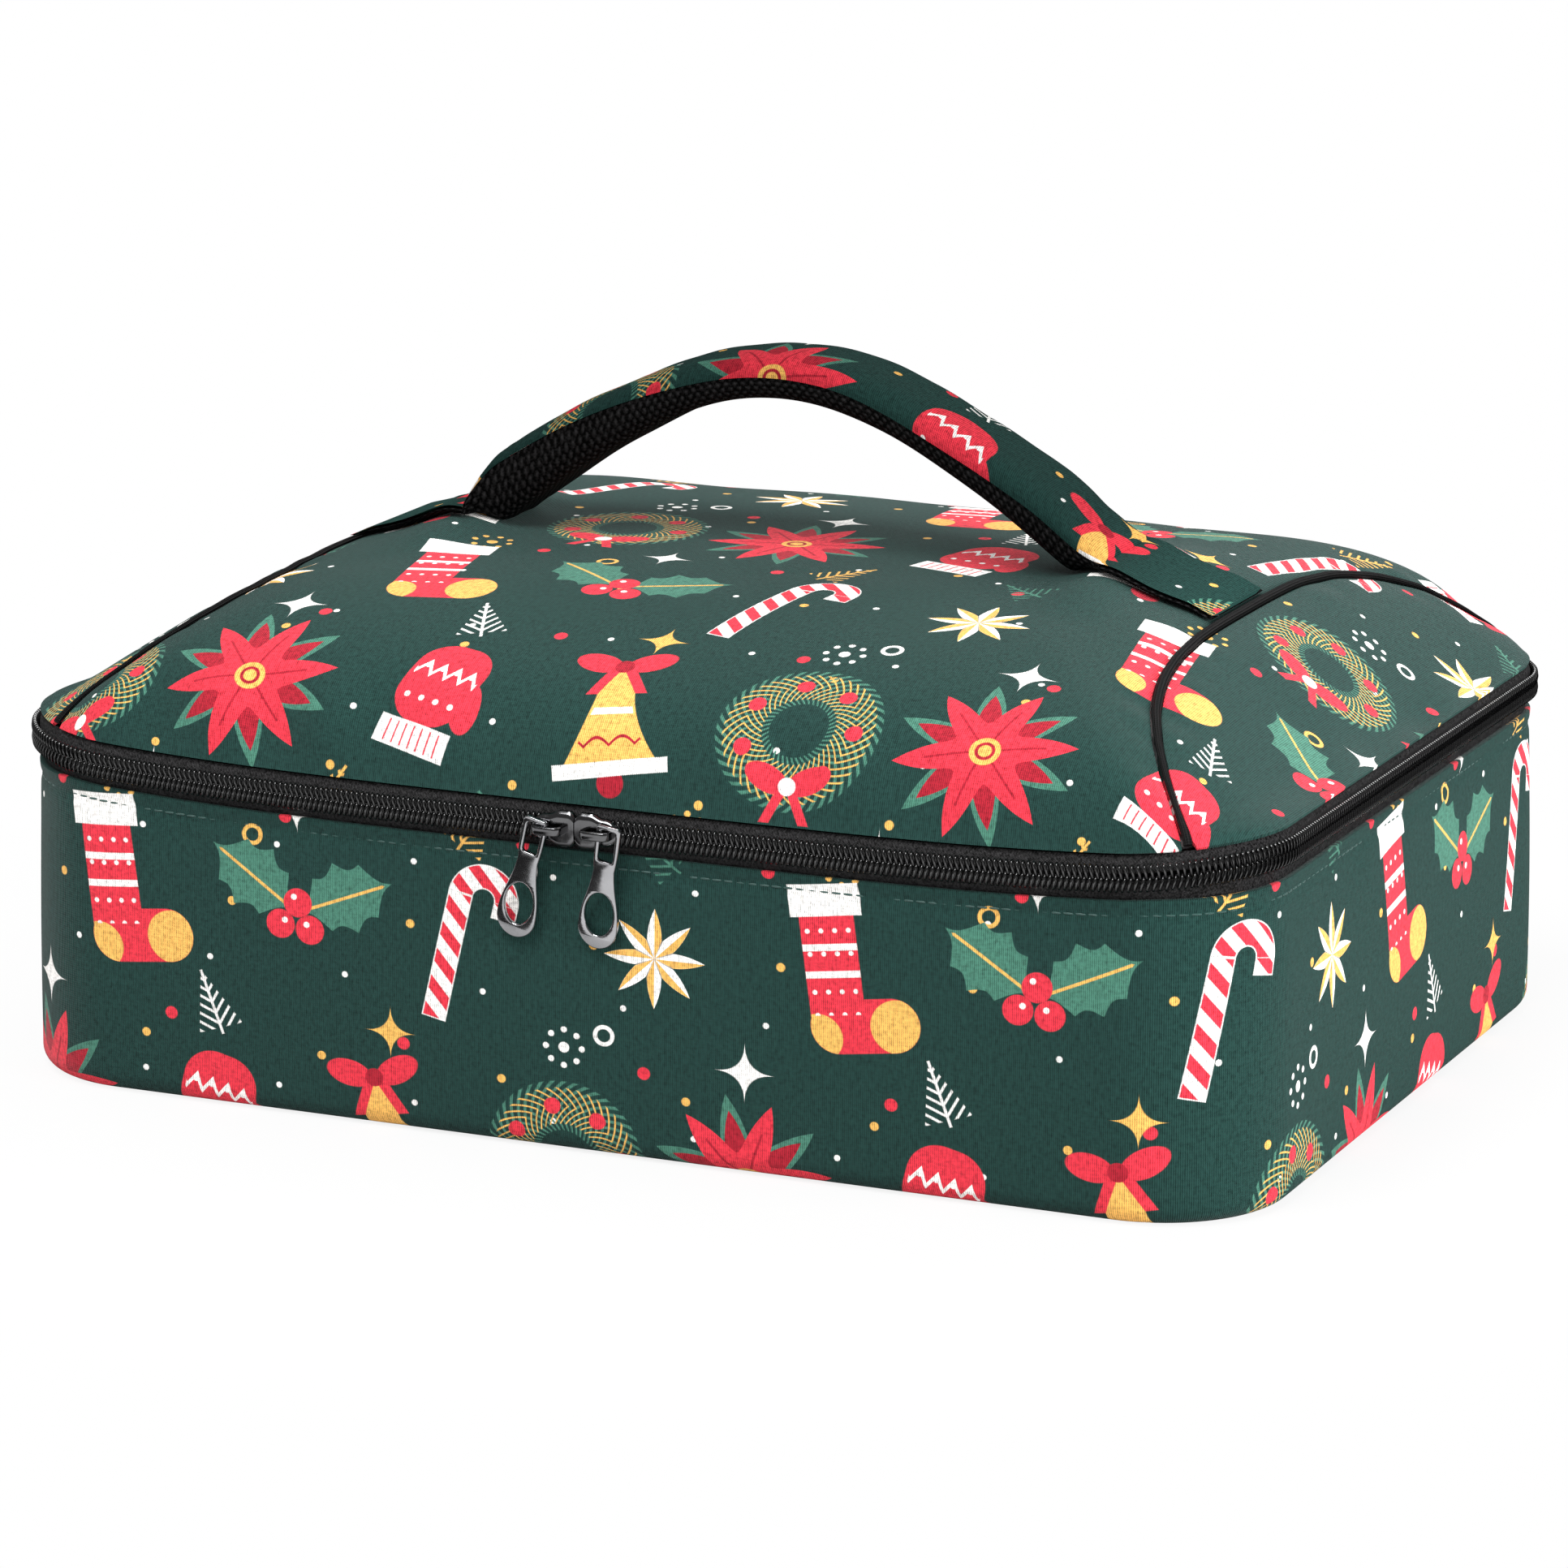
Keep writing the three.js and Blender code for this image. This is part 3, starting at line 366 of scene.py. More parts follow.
def hem_drop(m, x):
    """How much lower the wall's hem lies at the two ends of the case, where more of the zip shows."""
    return 1.8 * smooth_step(m.rim_x - 32.0, m.rim_x - 3.0, np.abs(x))


def rim_sweep(m, way, section, has_drop=False):
    """A section (rows or 1, columns, 3) of n, z and share carried along the rim: n goes out along the rim's
    normal, and share is how much of the front's sag, and of the drop at the ends, a point follows."""
    x, y, normal_x, normal_y = (value[:, None] for value in rim_at(m, way))
    n, z, share = section[..., 0], section[..., 1], section[..., 2]
    down = sag_at(m, x, y) + (hem_drop(m, x) if has_drop else 0.0)
    return np.stack([x + normal_x * n, y + normal_y * n, z - share * down + 0 * n], axis=-1)


def edge_distance(m, x, y):
    """Distance inside the rim outline."""
    past_x = np.abs(x) - m.straight_x
    past_y = np.abs(y) - m.straight_y
    corner = np.hypot(np.maximum(past_x, 0), np.maximum(past_y, 0))
    reach = np.where((past_x > 0) & (past_y > 0), corner, np.maximum(past_x, past_y))
    return np.maximum(0.0, m.rim_corner - reach)


def seam_at(m, y, shift=0.0):
    """Distance of a lid seam from the middle of the case: a power curve that runs out to the corners."""
    share = np.abs(y) / m.rim_y
    bulge = m.end_panel - m.end_panel_tip
    turn = bulge * 3.6 * share**2.6 / m.rim_y
    return m.rim_x - m.end_panel + bulge * share**3.6 + shift * np.hypot(1.0, turn)


def lip_run(m, x, y):
    """How far in the lid's edge rises: a short way along the front and back, a long way at the ends."""
    past_x = np.abs(x) - m.straight_x
    past_y = np.abs(y) - m.straight_y
    end = smooth_step(-0.9 * m.rim_corner, 0.16 * m.rim_corner, past_x - past_y)
    return m.lid_lip_run + (m.lid_end_run - m.lid_lip_run) * end


def hem_height(m, x, y):
    """Height of the lid's lower edge."""
    return m.zip_height - sag_at(m, x, y) + m.hem


def lid_height(m, x, y):
    """Height of the smooth lid: a rounded edge at the rim, a dome that is an arc from front to back and
    flat-topped from end to end, and a small rise where each root of the handle pulls the cloth up."""
    edge = edge_distance(m, x, y)
    along = np.maximum(0.0, 1 - np.abs(x / m.rim_x) ** 8.2) ** 2.5
    across = np.maximum(0.0, 1 - np.abs(y / m.rim_y) ** 2.8) ** 0.45
    lip = m.lid_lip * (1 - np.exp(-edge / lip_run(m, x, y)))
    crown = m.lid_crown * along * across * (1 - np.exp(-edge / 1.2))
    from_root = (np.abs(x) - m.tab_start) / m.lid_pull_run
    pull = m.lid_pull * np.exp(-(from_root**2) - (y / m.lid_pull_width) ** 4)
    return hem_height(m, x, y) + lip + crown + pull


def lid_normal(m, x, y):
    """Upward normal of the smooth lid, from height differences a little inside the rim."""
    x = x * 0.99
    y = y * 0.99
    step = 0.4
    slope_x = lid_height(m, x + step, y) - lid_height(m, x - step, y)
    slope_y = lid_height(m, x, y + step) - lid_height(m, x, y - step)
    return unit(np.stack([-slope_x, -slope_y, np.full_like(slope_x, 2 * step)], axis=-1))


def lid_softness(m, x, y):
    """How far the cloth stands off the smooth lid: puckers that fade in from the zip and from the seams, a
    small valley along each seam, and a broad unevenness, all kept away from the handle's tabs."""
    edge = edge_distance(m, x, y)
    seam = (np.abs(x) - seam_at(m, y)) * 0.85
    away = smooth_step(26.0, 46.0, np.abs(y))
    inside = 1 - np.exp(-edge / 5.0)
    hem_pucker = 0.9 * np.exp(-((edge - 5.0) / 7.0) ** 2) * ripple(x, y, 27.0, 3)
    seam_pucker = 0.5 * np.exp(-((np.abs(seam) - 5.0) / 5.0) ** 2) * ripple(x * 0.3, y, 15.0, 8)
    valley = -0.9 * np.exp(-((seam / 4.5) ** 2)) * inside
    broad = 0.5 * ripple(x, y, 95.0, 5) * inside
    return valley + away * inside * (seam_pucker + broad) + hem_pucker * np.minimum(1, edge / 2.0)


def lid_points(m, x, y, depth):
    """Points at a depth under the dressed lid, along the normal of the smooth one."""
    base = np.stack([x, y, lid_height(m, x, y)], axis=-1)
    stand = lid_softness(m, x, y) - depth
    return base + stand[..., None] * lid_normal(m, x, y)


BESIDE_HANDLE = 60.0


def lid_print_map(m, x, y):
    """Print distances on the lid: the arc length along a line each way, so that the print runs over the dome
    without stretching. The line from end to end passes beside the handle."""
    count = 801
    middle = count // 2
    line_x = np.linspace(-m.rim_x, m.rim_x, count)
    line_y = np.linspace(-m.rim_y, m.rim_y, count)
    flat = np.zeros(count)
    way_x = distances(np.stack([line_x, lid_height(m, line_x, flat - BESIDE_HANDLE)], axis=-1))
    way_y = distances(np.stack([line_y, lid_height(m, flat, line_y)], axis=-1))
    u = np.interp(x, line_x, way_x - way_x[middle])
    v = np.interp(y, line_y, way_y - way_y[middle])
    return np.stack([u, v], axis=-1)


# Materials


def number(tree, operation, *values, clamp=False):
    """Math node on fields and plain numbers."""
    node = tree.nodes.new("ShaderNodeMath")
    node.operation = operation
    node.use_clamp = clamp
    for socket, value in zip(node.inputs, values):
        if isinstance(value, Field):
            tree.links.new(value.source, socket)
        else:
            socket.default_value = value
    return Field(tree, node.outputs[0])


class Field:
    """A number that the shader works out at each point; arithmetic on fields adds Math nodes."""

    def __init__(self, tree, source):
        self.tree = tree
        self.source = source

    def __add__(self, other):
        return number(self.tree, "ADD", self, other)

    def __sub__(self, other):
        return number(self.tree, "SUBTRACT", self, other)

    def __rsub__(self, other):
        return number(self.tree, "SUBTRACT", other, self)

    def __mul__(self, other):
        return number(self.tree, "MULTIPLY", self, other)

    def __neg__(self):
        return self * -1.0

    def __abs__(self):
        return number(self.tree, "ABSOLUTE", self)

    def scaled(self, factor, offset, clamp=False):
        """The field times a factor plus an offset, which may be fields too."""
        return number(self.tree, "MULTIPLY_ADD", self, factor, offset, clamp=clamp)

    def lower(self, other):
        return number(self.tree, "MINIMUM", self, other)

    def higher(self, other):
        return number(self.tree, "MAXIMUM", self, other)

    def sine(self):
        return number(self.tree, "SINE", self)

    def root(self):
        return number(self.tree, "SQRT", self)

    def nearest(self):
        return number(self.tree, "ROUND", self)

    def off_nearest(self):
        """How far the field is from the nearest whole number."""
        return self - self.nearest()


def hypotenuse(x, y):
    return x.scaled(x, y * y).root()


def angle_of(x, y):
    return number(x.tree, "ARCTAN2", y, x)


def disc(x, y, centre_x, centre_y, radius):
    """Signed distance to a disc."""
    return hypotenuse(x - centre_x, y - centre_y) - radius


def box(x, y, centre_x, centre_y, half_x, half_y):
    """Signed distance to a box, less exact outside its corners."""
    return (abs(x - centre_x) - half_x).higher(abs(y - centre_y) - half_y)


class Print:
    """The printed pattern as it builds up: a ground colour that motifs are painted on, one by one. Motifs
    repeat on a brick lattice, each with its own offset and turn."""

    WIDE = 220.0
    TALL = 130.0

    def __init__(self, tree, u, v, ground):
        self.tree = tree
        self.u = u
        self.v = v
        self.colour = plain_colour(tree, ground)

    def local(self, at_x, at_y, turn=0.0, wide=WIDE, tall=TALL):
        """Distances from the nearest lattice point, turned by an angle in degrees."""
        row_share = self.v.scaled(1 / tall, -at_y / tall)
        row = row_share.nearest()
        y = (row_share - row) * tall
        share = row.scaled(-0.5, self.u.scaled(1 / wide, -at_x / wide))
        x = share.off_nearest() * wide
        if turn == 0.0:
            return x, y
        cosine = math.cos(math.radians(turn))
        sine = math.sin(math.radians(turn))
        return x.scaled(cosine, y * sine), y.scaled(cosine, x * -sine)

    def paint(self, distance, ink, softness=0.3):
        """Covers the points inside a signed distance with an ink, which is a colour or a colour socket."""
        mix = self.tree.nodes.new("ShaderNodeMix")
        mix.data_type = "RGBA"
        cover = distance.scaled(-1 / softness, 0.5, clamp=True)
        self.tree.links.new(cover.source, mix.inputs[0])
        self.tree.links.new(self.colour, mix.inputs[6])
        if isinstance(ink, bpy.types.NodeSocket):
            self.tree.links.new(ink, mix.inputs[7])
        else:
            mix.inputs[7].default_value = (*ink, 1.0)
        self.colour = mix.outputs[2]


def print_flower(design, inks):
    """Two rounds of six pointed petals: the radius falls off with the sine of three times the angle."""
    x, y = design.local(0, 0, 12)
    radius = hypotenuse(x, y)
    angle = angle_of(x, y) * 3.0
    petal = abs(angle.sine())
    between = abs(number(design.tree, "COSINE", angle))
    design.paint(between.scaled(17.0, radius - 27.5), inks.leaf)
    design.paint(between.scaled(14.0, radius - 22.5), inks.deep_red)
    design.paint(petal.scaled(16.0, radius - 26.0), inks.red)
    vein = (petal * radius).scaled(0.33, -0.35).higher(radius - 17.0)
    design.paint(vein, inks.deep_red)
    design.paint(radius - 4.4, inks.gold)
    design.paint(abs(radius - 2.4) - 0.5, inks.deep_red)


def print_mitten(design, inks):
    """A rounded hand and thumb over a ribbed cuff, with a zigzag band."""
    x, y = design.local(57, 2, -14)
    hand = hypotenuse((abs(x) - 2.0).higher(0.0), (abs(y - 3.0) - 5.0).higher(0.0)) - 9.5
    thumb = hypotenuse(x - 11.5, (y + x * 0.55 - 4.0) * 0.62) - 4.6
    design.paint(hand.lower(thumb), inks.red)
    zigzag = abs(y - abs((x * 0.2).off_nearest() * 9.0) - 4.0) - 1.0
    design.paint(zigzag.higher(hand + 1.2), inks.white)
    cuff = box(x, y, 0.0, -15.5, 11.5, 4.2)
    design.paint(cuff, inks.white)
    ribs = abs((x * 0.36).off_nearest() * 2.8) - 0.28
    design.paint(ribs.higher(cuff + 0.9), inks.red)
    dots = hypotenuse((x * 0.2 + 0.5).off_nearest() * 5.0, abs(y - 1.5) - 5.5) - 0.9
    design.paint(dots.higher(hand + 1.5), inks.white)


def print_bell(design, inks):
    """A bell whose half width grows with the square of the drop, with a rim band, a clapper and a bow."""
    x, y = design.local(111, 0, 10)
    wide = abs(x)
    drop = 12.0 - y
    flare = wide - (drop * drop).scaled(0.0125, 5.0)
    body = flare.higher(y - 12.0).higher(-15.0 - y).lower(disc(x, y, 0.0, 10.0, 6.2))
    design.paint(disc(x, y, 0.0, -20.0, 4.0), inks.deep_red)
    design.paint(body, inks.gold)
    design.paint(abs(y - 1.0).scaled(1.0, -1.1).higher(body + 0.8), inks.white)
    scallop = abs((x * 0.42).sine()) * 2.4
    design.paint((abs(y + 9.5 - scallop) - 0.5).higher(body + 1.0), inks.deep_red)
    design.paint(box(wide, y, 0.0, -16.0, 17.0, 2.1), inks.white)
    loop = hypotenuse((wide - 7.5) * 0.62, y - 18.5 - wide * 0.25) - 4.2
    tail = box(wide - (17.0 - y) * 0.5, y, 2.0, 12.0, 1.7, 5.0)
    design.paint(loop.lower(tail), inks.red)
    design.paint(disc(x, y, 0.0, 18.5, 2.8), inks.deep_red)


def print_stocking(design, inks):
    """A leg and a foot under a folded cuff, with a heel patch and a toe patch."""
    x, y = design.local(28, 65, 8)
    leg = box(x, y, -2.0, 6.0, 8.0, 17.0)
    foot = hypotenuse((abs(x - 5.5) - 8.0).higher(0.0), y + 13.5) - 8.0
    sock = leg.lower(foot)
    design.paint(sock, inks.red)
    design.paint(disc(x, y, 15.0, -14.0, 8.0).higher(sock), inks.gold)
    design.paint(disc(x, y, -8.5, -16.5, 7.0).higher(sock), inks.gold)
    band = abs(abs(y - 6.0) - 4.0) - 1.0
    design.paint(band.higher(leg), inks.white)
    dots = hypotenuse((x * 0.25).off_nearest() * 4.0, abs(abs(y - 2.5) - 9.0) - 3.4) - 0.7
    design.paint(dots.higher(leg + 1.0), inks.white)
    design.paint(box(x, y, -2.0, 24.0, 10.5, 4.8), inks.white)


def print_holly(design, inks):
    """Two mirrored leaves with scalloped edges, a pale vein each, and three berries between them."""
    x, y = design.local(84, 66, -6)
    wide = abs(x)
    along = wide.scaled(0.88, y * 0.48).scaled(1 / 31.0, -0.03)
    across = abs(y.scaled(0.88, wide * -0.48))
    room = along - along * along
    scallop = abs((along * (4 * math.pi)).sine())
    leaf = scallop.scaled(2.6, across - room * 44.0)
    design.paint(leaf, inks.leaf)
    design.paint((across - 0.45).higher(leaf + 1.0), inks.gold)
    berries = disc(wide, y, 0.0, 3.0, 4.4).lower(disc(wide, y, 4.6, -4.4, 4.4))
    design.paint(berries, inks.red)
    shine = disc(x, y, -1.4, 4.6, 0.9).lower(disc(wide - 4.6, y, -1.2, -3.0, 0.9))
    design.paint(shine, inks.white)


def print_cane(design, inks):
    """A stick and a half ring above it, in slanted stripes."""
    x, y = design.local(139, 65, -12)
    stick = box(x, y, -7.0, -8.0, 3.7, 20.0)
    crook = (abs(hypotenuse(x, y - 12.0) - 7.0) - 3.7).higher(12.0 - y)
    end = box(x, y, 7.0, 10.0, 3.7, 2.5)
    cane = stick.lower(crook).lower(end)
    design.paint(cane, inks.white)
    slant = x.scaled(0.8, y) * (1 / 8.5)
    stripe = (abs(slant.off_nearest()) - 0.25) * 7.0
    design.paint(stripe.higher(cane + 0.3), inks.red)


def print_star(design, inks):
    """Eight lozenges round a point: the reach falls off with the angle from the nearest ray, and each
    lozenge is white on one side and gold on the other."""
    x, y = design.local(193, 65)
    radius = hypotenuse(x, y)
    off = (angle_of(x, y) * (8 / TURN)).off_nearest()
    spread = abs(off) * 2.0
    reach = radius - (1.0 - spread * spread.scaled(-0.25, 0.87)) * 15.0
    lozenge = reach.higher((spread - 0.93) * radius * 0.4)
    design.paint(lozenge, inks.white)
    design.paint(lozenge.higher(off * 40.0), inks.gold)


def print_wreath(design, inks):
    """Ring of slanted needles in two inks, with berries round it and a bow at its foot."""
    x, y = design.local(166, 1)
    radius = hypotenuse(x, y)
    angle = angle_of(x, y)
    band = abs(radius - 16.0)
    for slant, half, reach, ink in ((0.05, 0.5, 7.5, inks.leaf), (-0.06, 0.3, 5.5, inks.gold)):
        share = band.scaled(slant, angle) * (42 / TURN)
        needle = abs(share.off_nearest()) * 2.4 - half
        design.paint(needle.higher(band - reach), ink)
    berry = hypotenuse((angle * (7 / TURN)).off_nearest() * 14.4, radius - 16.0)
    design.paint(berry - 2.5, inks.red)
    wide = abs(x)
    loop = hypotenuse((wide - 6.0) * 0.6, y + 16.5 - wide * 0.3) - 3.8
    tail = box(wide + (y + 18.0) * 0.5, y, 1.5, -22.0, 1.5, 4.5)
    design.paint(loop.lower(tail), inks.red)
    design.paint(disc(x, y, 0.0, -16.5, 2.5), inks.white)


def print_sprig(design, at_x, at_y, turn, ink):
    """Thin stem with slanted strokes that shorten towards its tip."""
    x, y = design.local(at_x, at_y, turn)
    wide = abs(x)
    stem = (wide - 0.4).higher(abs(y) - 10.0)
    step = (y - wide * 0.9) * (1 / 3.4)
    stroke = abs(step.off_nearest()) * 2.5 - 0.36
    room = y.scaled(0.4, wide - 4.0).higher(-8.0 - y)
    design.paint(stem.lower(stroke.higher(room)), ink)


def print_fillers(design, inks):
    """Small marks between the motifs: sprigs, sparkles with four points, rings of dots, rings and dots."""
    for at_x, at_y, wide, tall, radius, ink in (
        (31, 23, 55.6, 44.0, 1.3, inks.gold),
        (9, 12, 42.4, 37.0, 0.9, inks.white),
        (46, 30, 73.0, 65.0, 1.9, inks.red),
    ):
        x, y = design.local(at_x, at_y, 0, wide, tall)
        design.paint(hypotenuse(x, y) - radius, ink)
    sparkles = ((113, 33, 8.0, inks.gold), (0, 34, 9.0, inks.white), (84, 98, 8.0, inks.white))
    for at_x, at_y, size, ink in sparkles:
        x, y = design.local(at_x, at_y)
        root = abs(x).root() + abs(y).root()
        design.paint((root - math.sqrt(size)) * 1.5, ink)
    for at_x, at_y, ink in ((166, 35, inks.white), (28, 99, inks.gold)):
        x, y = design.local(at_x, at_y)
        radius = hypotenuse(x, y)
        share = angle_of(x, y) * (8 / TURN)
        design.paint(hypotenuse(share.off_nearest() * 4.2, radius - 5.4) - 0.9, ink)
        design.paint(radius - 1.6, ink)
    print_sprig(design, 57, 35, 20, inks.white)
    print_sprig(design, 139, 99, -35, inks.gold)
    print_sprig(design, 193, 98, 50, inks.leaf)
    for at_x, at_y, ink in ((70, 88, inks.gold), (178, 40, inks.white)):
        x, y = design.local(at_x, at_y)
        design.paint(abs(hypotenuse(x, y) - 2.6) - 0.6, ink)


def new_material(name):
    material = bpy.data.materials.new(name)
    material.use_nodes = True
    tree = material.node_tree
    shader = tree.nodes["Principled BSDF"]
    return material, tree, shader


def uv_fields(tree):
    """The piece's own UV map in millimetres."""
    node = tree.nodes.new("ShaderNodeUVMap")
    node.uv_map = "cloth"
    split = tree.nodes.new("ShaderNodeSeparateXYZ")
    tree.links.new(node.outputs["UV"], split.inputs[0])
    return Field(tree, split.outputs[0]) * PRINT_UNIT, Field(tree, split.outputs[1]) * PRINT_UNIT


def noise(tree, size, detail=2.0):
    """Noise on Object coordinates, with patches of about one size in millimetres."""
    place = tree.nodes.new("ShaderNodeTexCoord")
    node = tree.nodes.new("ShaderNodeTexNoise")
    node.inputs["Scale"].default_value = 1.0 / (size * MM)
    node.inputs["Detail"].default_value = detail
    tree.links.new(place.outputs["Object"], node.inputs["Vector"])
    return Field(tree, node.outputs[0])


def set_bump(tree, shader, height, depth, strength=1.0):
    """Bump from a field of 0 to 1 that stands for a depth in millimetres."""
    bump = tree.nodes.new("ShaderNodeBump")
    bump.inputs["Strength"].default_value = strength
    bump.inputs["Distance"].default_value = depth * MM
    tree.links.new(height.source, bump.inputs["Height"])
    tree.links.new(bump.outputs["Normal"], shader.inputs["Normal"])


def set_base(tree, shader, colour_socket, factor):
    """Base colour of a shader: a colour times a field."""
    node = tree.nodes.new("ShaderNodeVectorMath")
    node.operation = "SCALE"
    tree.links.new(colour_socket, node.inputs[0])
    tree.links.new(factor.source, node.inputs["Scale"])
    tree.links.new(node.outputs[0], shader.inputs["Base Color"])


def set_values(shader, values):
    for name, value in values.items():
        shader.inputs[name].default_value = value


def plain_colour(tree, ink):
    node = tree.nodes.new("ShaderNodeRGB")
    node.outputs[0].default_value = (*ink, 1.0)
    return node.outputs[0]


def grain(tree, u, v, across, along):
    """Uneven threads: noise on the UV map, drawn out along v."""
    place = tree.nodes.new("ShaderNodeCombineXYZ")
    tree.links.new((u * (1 / across)).source, place.inputs[0])
    tree.links.new((v * (1 / along)).source, place.inputs[1])
    node = tree.nodes.new("ShaderNodeTexNoise")
    node.inputs["Scale"].default_value = 1.0
    node.inputs["Detail"].default_value = 2.0
    tree.links.new(place.outputs[0], node.inputs["Vector"])
    return Field(tree, node.outputs[0])


def weave(u, v, pitch):
    """Plain weave height of 0 to 1: ribs along v, broken by the crossing threads."""
    rib = (u * (TURN / pitch)).sine()
    cross = (v * (TURN / pitch / 1.15)).sine()
    return (rib * 0.34 + (rib * cross) * 0.16) + 0.5


MOTIFS = (
    print_fillers, print_flower, print_mitten, print_bell, print_stocking,
    print_holly, print_cane, print_star, print_wreath,
)
THREAD_PITCH = 0.62
CHEVRON_WIDTH = 2.4
# Reach and fade of the painted shade on the handle's arch
ARCH_SHADE_REACH = 108.0
ARCH_SHADE_FADE = 40.0


def dress_cloth(name, sheen, gloss, arch_shade=1.0):
    """Ribbed polyester with the festive print, uneven threads and a slight sheen. Between the threads the
    colour is darker, a painted shade of the weave. Below one, the last argument darkens the colours within
    a reach of the map's middle, which is the arch of the handle, as a painted shade that fades out past it."""
    m = measures()
    inks = paints()
    material, tree, shader = new_material(name)
    u, v = uv_fields(tree)
    design = Print(tree, u * (1 / m.print_scale), v * (1 / m.print_scale), inks.ground)
    for motif in MOTIFS:
        motif(design, inks)
    threads = weave(u, v, THREAD_PITCH)
    slubs = grain(tree, u, v, 0.9, 2.4) + grain(tree, v, u, 0.9, 2.0)
    # the weave's height also darkens the colour between the threads: painted shade; the slubs are uneven
    # threads
    tone = threads.scaled(0.8, slubs.scaled(1.1, -0.5)).lower(1.25)
    # painted shade: the colours over the handle's arch are darkened, fading out past its reach
    if arch_shade < 1.0:
        past_arch = abs(u).scaled(1 / ARCH_SHADE_FADE, -ARCH_SHADE_REACH / ARCH_SHADE_FADE, clamp=True)
        tone = tone * past_arch.scaled(1 - arch_shade, arch_shade)
    set_base(tree, shader, design.colour, tone)
    set_bump(tree, shader, threads, 0.16)
    set_values(shader, {
        "Roughness": 0.72, "Specular IOR Level": gloss, "Sheen Weight": sheen, "Sheen Roughness": 0.4
    })
    return material


def printed_cloth():
    """The cloth of the case."""
    return dress_cloth("printed_cloth", 0.10, 0.08)


def shaded_strap_cloth():
    """The cloth of the handle, with a painted shade over the arch that fades out towards the tabs."""
    return dress_cloth("shaded_strap_cloth", 0.005, 0.03, 0.5)


def woven_tape():
    """Black herringbone tape with a fine bump, painted darker in the grooves of its chevrons as painted
    shade, and a little lint.
    """
    material, tree, shader = new_material("black_tape")
    u, v = uv_fields(tree)
    slant = abs((v * (1 / CHEVRON_WIDTH)).off_nearest()) * CHEVRON_WIDTH
    chevron = ((u + slant) * (TURN / 0.9)).sine() * (v * (TURN / 0.62)).sine()
    height = chevron.scaled(0.42, 0.5)
    lint = noise(tree, 0.7, 2.0)
    # the chevron height lightens the crests and darkens the grooves: painted shade; the lint is real
    tone = height.scaled(1.6, lint.scaled(9.0, -3.6)).higher(0.1)
    set_base(tree, shader, plain_colour(tree, paints().tape), tone)
    set_bump(tree, shader, height, 0.22)
    set_values(shader, {"Roughness": 0.62, "Specular IOR Level": 0.2, "Sheen Weight": 0.01})
    return material


def corded_piping():
    """Black piping tape with fine ribs along its length, its colour darker between the ribs as painted
    shade.
    """
    material, tree, shader = new_material("black_piping")
    u, v = uv_fields(tree)
    ribs = (v * (TURN / 1.0)).sine().scaled(0.38, 0.5)
    picks = (u * (TURN / 0.7)).sine().scaled(0.12, 0.0)
    height = ribs + picks
    # the ribs' height sets the colour, darker between them: painted shade
    tone = height.scaled(1.0, 0.05)
    set_base(tree, shader, plain_colour(tree, paints().tape), tone)
    set_bump(tree, shader, height, 0.25)
    set_values(shader, {"Roughness": 0.6, "Specular IOR Level": 0.12})
    return material


def coil_plastic():
    """Glossy black coil, slightly uneven in gloss."""
    material, tree, shader = new_material("zip_coil")
    tone = noise(tree, 1.6).scaled(1.4, 0.3)
    set_base(tree, shader, plain_colour(tree, paints().coil), tone)
    gloss = noise(tree, 2.2).scaled(0.15, 0.12)
    tree.links.new(gloss.source, shader.inputs["Roughness"])
    set_values(shader, {"Specular IOR Level": 1.0, "Coat Weight": 0.6, "Coat Roughness": 0.15})
    return material


def air_mesh():
    """Black spacer mesh: plump round knots in a brick lattice, with fuzz between them; the knots are painted
    lighter, a painted highlight on their round tops.
    """
    material, tree, shader = new_material("air_mesh")
    u, v = uv_fields(tree)
    lattice = Print(tree, u, v, paints().tape)
    x, y = lattice.local(0, 0, 0, 2.8, 1.6)
    knot = hypotenuse(x, y).scaled(-1.1, 1.15, clamp=True)
    fuzz = noise(tree, 0.8, 2.0)
    # knot tops painted lighter and the gaps darker: painted highlight and shade; the fuzz is real
    tone = knot.scaled(1.6, fuzz.scaled(3.0, -1.4)).higher(0.02)
    set_base(tree, shader, plain_colour(tree, paints().tape), tone)
    set_bump(tree, shader, knot, 0.5)
    set_values(shader, {"Roughness": 0.8, "Specular IOR Level": 0.05})
    return material


def silver_lining():
    """Silver film lining with soft crinkles, painted darker in their hollows as painted shade."""
    material, tree, shader = new_material("silver_lining")
    crinkle = noise(tree, 9.0, 3.0)
    fine = noise(tree, 2.2, 2.0)
    height = fine.scaled(0.3, crinkle * 0.7)
    # the crinkles' height sets the tone, darker in the hollows: painted shade
    tone = crinkle.scaled(0.3, 0.85)
    set_base(tree, shader, plain_colour(tree, paints().lining), tone)
    set_bump(tree, shader, height, 0.9)
    set_values(shader, {"Metallic": 0.45, "Roughness": 0.38})
    return material


def nickel(name, share):
    """Polished black nickel with faint wear in its gloss; a share above one paints it lighter, standing in
    for brighter reflections.
    """
    material, tree, shader = new_material(name)
    tone = noise(tree, 5.0, 3.0).scaled(0.3, 0.85) * share
    set_base(tree, shader, plain_colour(tree, paints().metal), tone)
    gloss = noise(tree, 1.5, 3.0).scaled(0.16, 0.06)
    tree.links.new(gloss.source, shader.inputs["Roughness"])
    set_bump(tree, shader, noise(tree, 3.0, 2.0), 0.02)
    shader.inputs["Metallic"].default_value = 1.0
    return material


def black_nickel():
    """The sliders' finish."""
    return nickel("black_nickel", 1.0)


